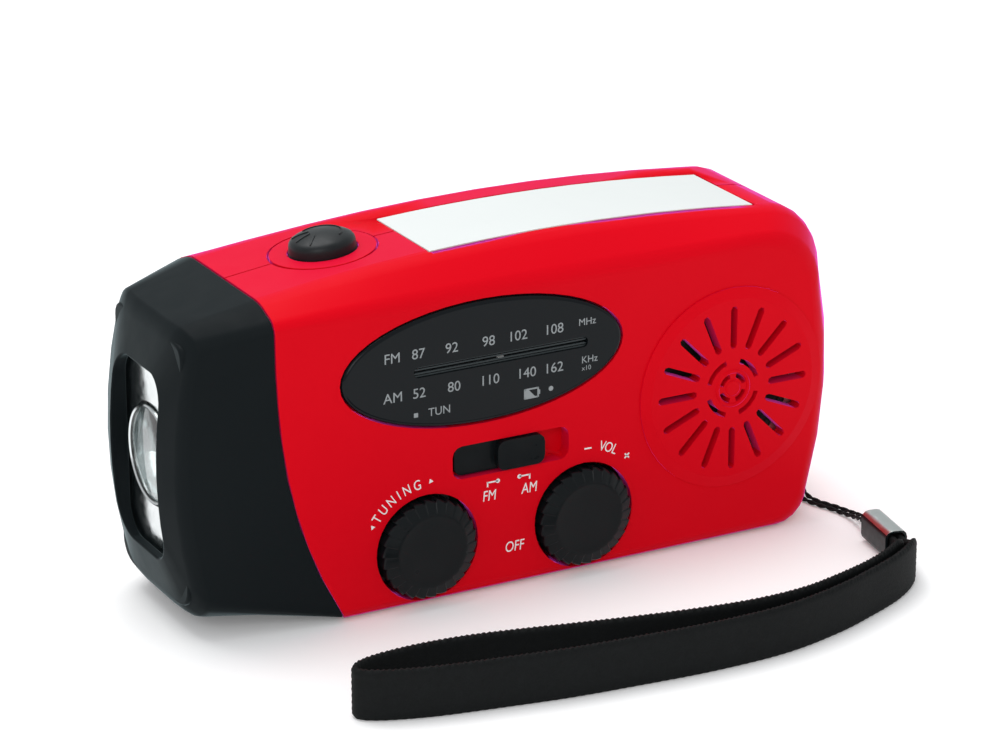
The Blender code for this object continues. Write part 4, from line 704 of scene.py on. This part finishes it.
def buttonMark(name, path):
    v = buttonValues
    rise, sink, shoulder = v["markRise"], v["markSink"], v["markShoulder"]
    outline = ((-1, -sink), (-shoulder, rise), (0, rise * v["markCrown"]), (shoulder, rise), (1, -sink))
    rings = []
    last = len(path) - 1
    for index, (a, b) in enumerate(path):
        start = Vector(path[max(index - 1, 0)])
        end = Vector(path[min(index + 1, last)])
        aside = (end - start).normalized().orthogonal() * v["markWidth"] / 2
        taper = v["markTaper"] if index in (0, last) else 1.0
        ring = []
        for across, up in outline:
            x = a + aside.x * across * taper
            y = b + aside.y * across * taper
            ring.append(Vector((x, y, domeHeight(x, y) + up)))
        rings.append(ring)
    return ringMesh(name, rings)


def makeButton(looks):
    v = buttonValues
    button = growRings("torchButton", (0, 0, 0), "z", v["profile"], 72)
    openMesh(button)
    bpy.ops.transform.resize(value=(1, v["oval"], 1), center_override=(0, 0, 0))
    closeMesh()
    marks = []
    for start, end in v["rays"]:
        path = [(start[0] + (end[0] - start[0]) * k / 8, start[1] + (end[1] - start[1]) * k / 8)
                for k in range(9)]
        marks.append(buttonMark("ray", path))
    first, final = v["arcTurn"]
    turns = [math.radians(first + (final - first) * k / 30) for k in range(31)]
    marks.append(buttonMark("arc", [(v["arcRadius"] * math.cos(a), v["arcRadius"] * math.sin(a) * v["oval"])
                                    for a in turns]))
    marks = joinUp(marks, "buttonMarks")
    for piece, nodes in ((button, ["torch_button"]), (marks, ())):
        piece.location = Vector(v["centre"]) * mm
        piece.rotation_euler = (0, -math.radians(v["slope"]), 0)
        takeUp(piece)
        bpy.ops.object.transform_apply(location=True, rotation=True, scale=True)
        finishPiece(piece, looks["rubber"], "torch_button", nodes, 40)


# The dial

dialValues = {
    "centre": (-8.1, 42.7),
    "size": (53.6, 21.8),
    "backY": -19.65,
    "faceY": -21.55,
    "bevel": 0.8,
    "slotCentre": (-4.9, 42.9),
    "slotSize": (33.4, 1.9),
    "trackY": -20.85,
    "slit": 0.4,
    "carriageY": -18.86,
    "trackDeep": 0.5,
    "trackPlay": 0.06,
    "stemY": -19.95,
    "stem": (1.0, 2.7, 0.24),
    "flagY": -21.32,
    "flag": (1.9, 0.24, 1.5),
    "flagCorner": 0.25,
}


def makeDial(looks):
    v = dialValues
    x, z = v["centre"]
    width, height = v["size"]
    lens = growRings("dialLens", (x, 0, z), "y", ((width / 2, v["backY"]), (width / 2, v["faceY"])), 96)
    openMesh(lens)
    bpy.ops.transform.resize(value=(1, 1, height / width), center_override=(x * mm, 0, z * mm))
    pickEdges(lens, lambda middle, along: middle.y < v["faceY"] + 0.01)
    bpy.ops.mesh.bevel(offset=v["bevel"] * mm, segments=4, affect="EDGES")
    closeMesh()
    slotX, slotZ = v["slotCentre"]
    length, tall = v["slotSize"]
    slot = growBlock("slotTool", (slotX, v["faceY"], slotZ), (length, 6, tall), tall * 0.45, "y", 5)
    carve(lens, slot)
    finishPiece(lens, looks["dialAcrylic"], "case", ["dial_lens"], 25)
    lip = (tall - v["trackPlay"] - v["slit"]) / 2
    for name, side in (("trackLipUpper", 1), ("trackLipLower", -1)):
        piece = growBlock(name, (slotX, v["trackY"], slotZ + side * (v["slit"] + lip) / 2),
                          (length - v["trackPlay"], v["trackDeep"], lip), lip * 0.6, "y", 4)
        finishPiece(piece, looks["trackGrey"], "case")
    pointer = copyNode("dial_pointer", "dialPointer")
    openMesh(pointer)
    bpy.ops.mesh.bisect(plane_co=(0, v["carriageY"] * mm, 0), plane_no=(0, 1, 0), use_fill=True,
                        clear_inner=True)
    closeMesh()
    carve(pointer, growBlock("stem", (slotX, v["stemY"], slotZ), v["stem"]), "UNION")
    carve(pointer, growBlock("flag", (slotX, v["flagY"], slotZ), v["flag"], v["flagCorner"], "y", 3), "UNION")
    finishPiece(pointer, looks["palePlastic"], "pointer", ["dial_pointer"])
    print("dial dressed")


# The knobs

knobValues = {
    "ridges": 26,
    "rim": 8.6,
    "rise": 0.5,
    "z": 10.8,
    "profile": ((8.6, -19.25), (8.6, -22.05), (8.35, -22.35), (6.75, -23.12), (6.45, -23.2), (6.1, -23.16),
                (5.2, -23.08), (3.5, -23.02), (1.6, -23.0), (0.3, -23.0)),
    "steps": ((1, 0.34, 0.0), (2, 0.68, 0.05), (3, 1.0, 0.17)),
    "bands": ((8.2, 9.2, 1.0), (6.6, 6.9, 0.45)),
    "tuningX": -19.1,
    "volumeX": 11.4,
}


def makeKnob(name, x, body, node, looks):
    v = knobValues
    place = (x, 0, v["z"])
    count = v["ridges"] * 4
    knob = growRings(name, place, "y", v["profile"], count)
    openMesh(knob)
    centre = Vector(place) * mm
    for slot, share, lag in v["steps"]:
        for inner, outer, strength in v["bands"]:
            def onRidge(point, slot=slot, inner=inner, outer=outer):
                reach = math.hypot(point.x - x, point.z - v["z"])
                angle = math.atan2(point.z - v["z"], point.x - x) % (2 * math.pi)
                return inner < reach < outer and round(angle * count / (2 * math.pi)) % 4 == slot
            pickVerts(knob, onRidge)
            wide = 1 + v["rise"] * share * strength / v["rim"]
            bpy.ops.transform.resize(value=(wide, 1, wide), center_override=centre)
            if lag:
                bpy.ops.transform.rotate(value=lag * 2 * math.pi / v["ridges"], orient_axis="Y",
                                         center_override=centre)
    closeMesh()
    soften(knob, 0.08, 2, 30)
    finishPiece(knob, looks["glossBlack"], body, [node], 24)


# Printed words and marks

letterValues = {
    "thick": 0.03,
    "capitalShare": 0.729,
    "dial": (
        ("FM", -25.3, 46.2, 1.85), ("87", -20.4, 46.2, 1.85), ("92", -14.1, 46.2, 1.85),
        ("98", -7.1, 46.2, 1.85), ("102", -1.5, 46.2, 1.85), ("108", 5.5, 46.2, 1.85),
        ("MHz", 12.0, 46.5, 1.3), ("AM", -25.2, 39.2, 1.85), ("52", -20.3, 39.2, 1.85),
        ("80", -13.7, 39.2, 1.85), ("110", -6.9, 39.2, 1.85), ("140", 0.2, 39.2, 1.85),
        ("162", 5.5, 39.2, 1.85), ("KHz", 12.5, 39.6, 1.3), ("x10", 11.9, 38.1, 0.9),
        ("TUN", -16.5, 35.4, 1.5)),
    "case": (("FM", -7.2, 17.9, 2.0), ("AM", 0.6, 17.9, 2.0), ("OFF", -2.3, 7.6, 2.0)),
    "dialShift": -0.35,
    "narrow": 0.78,
    "lean": 0.12,
    "stroke": 0.28,
    "tuningArc": (-19.1, 10.8, 11.8, (
        ("T", 143.5), ("U", 134.5), ("N", 125), ("I", 117), ("N", 109), ("G", 99))),
    "volumeArc": (11.4, 10.8, 12.6, (("V", 73), ("O", 67), ("L", 61))),
    "caseStrokes": (
        ((-5.5, 20.4), (-7.5, 20.4)), ((-7.5, 20.54), (-7.5, 19.6)), ((-1.3, 20.4), (0.7, 20.4)),
        ((0.7, 20.54), (0.7, 19.6)), ((11.5, 23.05), (12.9, 23.0)), ((19.55, 19.8), (20.45, 20.65)),
        ((19.6, 20.65), (20.4, 19.8))),
    "caseDots": ((-5.5, 20.4, 0.4), (-1.3, 20.4, 0.4)),
    "caseArrows": ((-29.5, 16.5, 242), (-18.4, 22.8, -10)),
    "dialStrokes": (
        ((-0.5, 34.6), (2.1, 34.6)), ((-0.5, 36.2), (2.1, 36.2)), ((-0.5, 34.5), (-0.5, 36.3)),
        ((2.1, 34.5), (2.1, 36.3)), ((2.35, 35.0), (2.35, 35.8))),
    "dialDots": ((4.6, 35.6, 0.45),),
    "dialSquare": (-21.3, 35.4, 0.55),
    "batteryFill": ((-0.35, 34.75), (1.5, 34.75), (0.3, 36.05), (-0.35, 36.05)),
    "arcTall": 1.9,
    "arrowSize": 0.5,
}


def writeWord(text, x, z, tall, faceY, turn=0.0, narrow=1.0, lean=0.0):
    v = letterValues
    clearSelection()
    bpy.ops.object.text_add()
    word = bpy.context.active_object
    word.data.body = text
    word.data.size = tall / v["capitalShare"] * mm
    word.data.shear = lean
    word.data.align_x = "CENTER"
    word.data.align_y = "CENTER"
    word.data.extrude = v["thick"] * mm
    word.data.resolution_u = 4
    bpy.ops.object.convert(target="MESH")
    word = bpy.context.active_object
    word.scale = (narrow, 1, 1)
    bpy.ops.object.transform_apply(location=False, rotation=False, scale=True)
    word.rotation_euler = (math.pi / 2, -turn, 0)
    word.location = Vector((x, faceY, z)) * mm
    bpy.ops.object.transform_apply(location=True, rotation=True, scale=True)
    return word


def printPatch(name, outline, faceY):
    thick = letterValues["thick"]
    return ringMesh(name, [[Vector((x, faceY + side * thick, z)) for x, z in outline] for side in (-1, 1)])


def printStroke(ends, faceY):
    start, end = (Vector(point) for point in ends)
    aside = (end - start).normalized().orthogonal() * letterValues["stroke"] / 2
    return printPatch("stroke", (start + aside, end + aside, end - aside, start - aside), faceY)


def printRound(x, z, radius, faceY, sides=20, turn=0.0):
    spots = [turn + 2 * math.pi * k / sides for k in range(sides)]
    return printPatch("dot", [(x + radius * math.cos(a), z + radius * math.sin(a)) for a in spots], faceY)


def makeLettering(looks):
    v = letterValues
    faceY = dialValues["faceY"]
    marks = [writeWord(text, x + v["dialShift"], z, tall, faceY) for text, x, z, tall in v["dial"]]
    marks += [printStroke(ends, faceY) for ends in v["dialStrokes"]]
    marks += [printRound(x, z, radius, faceY) for x, z, radius in v["dialDots"]]
    marks.append(printRound(*v["dialSquare"], faceY, 4, math.pi / 4))
    marks.append(printPatch("halfFull", v["batteryFill"], faceY))
    finishPiece(joinUp(marks, "dialLettering"), looks["greyInk"], "case", (), 30, False)
    faceY = caseValues["frontY"]
    narrow, lean = v["narrow"], v["lean"]
    marks = [writeWord(text, x, z, tall, faceY, 0.0, narrow, lean) for text, x, z, tall in v["case"]]
    for x, z, radius, letters in (v["tuningArc"], v["volumeArc"]):
        for letter, turn in letters:
            turn = math.radians(turn)
            marks.append(writeWord(letter, x + radius * math.cos(turn), z + radius * math.sin(turn),
                                   v["arcTall"], faceY, turn - math.pi / 2, narrow))
    marks += [printStroke(ends, faceY) for ends in v["caseStrokes"]]
    marks += [printRound(x, z, radius, faceY) for x, z, radius in v["caseDots"]]
    marks += [printRound(x, z, v["arrowSize"], faceY, 3, math.radians(turn))
              for x, z, turn in v["caseArrows"]]
    finishPiece(joinUp(marks, "caseLettering"), looks["ink"], "case", (), 30, False)
    print("lettering printed")


# What the crank side and the right end carry

screwValues = {"crankReach": 2.6, "caseReach": 2.8, "recessDeep": 1.4, "recessWide": 0.55}


def crossRecess(piece, node, reach):
    low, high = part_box(node)
    middle = (low + high) / 2 / mm
    deep, wide = screwValues["recessDeep"], screwValues["recessWide"]
    for size in ((reach, deep, wide), (wide, deep, reach)):
        carve(piece, growBlock("bit", (middle.x, high.y / mm, middle.z), size))


def makeRearFittings(looks):
    for node, name, look, body, slot, width in (
        ("crank_arm", "crankArm", "glossBlack", "crank", "black_shell", 0.5),
        ("crank_grip", "crankGrip", "redAbs", "grip", "red_shell", 0.3),
        ("grip_knuckle", "gripKnuckle", "steel", "grip_fold", "steel", 0.15),
        ("crank_screw", "crankScrew", "steel", "crank", "steel", 0.15),
        ("socket_flap", "socketFlap", "rubber", "flap", "black_rubber", 0.2),
        ("band_slider", "bandSlider", "glossBlack", "band_slider", "black_shell", 0.3),
    ):
        piece = copyNode(node, name)
        if node == "crank_screw":
            crossRecess(piece, node, screwValues["crankReach"])
        soften(piece, width, 2, 35)
        finishPiece(piece, looks[look], body, [node])
    for number in range(1, 5):
        node = f"case_screw_{number}"
        piece = copyNode(node, f"caseScrew{number}")
        crossRecess(piece, node, screwValues["caseReach"])
        soften(piece, 0.1, 2, 35)
        finishPiece(piece, looks["steel"], "case", [node])
    print("rear and end dressed")


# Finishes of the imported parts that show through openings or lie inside

nodeLooks = {
    "board": ("led_board", "switch_board", "main_board"),
    "cells": ("solar_cells",),
    "greyPlastic": ("dial_scale", "tuning_capacitor", "volume_pot", "gearbox_plate", "gearbox_cover",
                    "torch_switch"),
    "palePlastic": ("tuning_drum", "volume_shaft", "crank_gear", "compound_gear"),
    "nylon": ("dial_cord",),
    "glossBlack": ("torch_switch_plunger",),
    "nickel": ("band_switch", "usb_socket", "charge_socket", "speaker_frame", "dynamo_body"),
    "paperCone": ("speaker_cone",),
    "magnet": ("speaker_magnet", "ferrite_rod"),
    "copper": ("aerial_coil",),
    "cellWrap": ("battery_cell_1", "battery_cell_2"),
    "steel": ("crank_shaft", "fold_pin", "compound_axle", "dynamo_rotor"),
}


def dressNodes(looks):
    for look, nodes in nodeLooks.items():
        for node in nodes:
            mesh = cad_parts[node].data
            mesh.materials.clear()
            mesh.materials.append(looks[look])


looks = makeFinishes()
makeStudio()
ferrule = makeFerrule(looks)
makeCords(looks)
makeWebbing(looks)
makeCase(looks)
makeGrilleHub(looks)
makeTorch(looks)
makeButton(looks)
makeDial(looks)
makeKnob("tuningKnob", knobValues["tuningX"], "tuning", "tuning_knob", looks)
makeKnob("volumeKnob", knobValues["volumeX"], "volume", "volume_knob", looks)
makeLettering(looks)
makeRearFittings(looks)
dressNodes(looks)
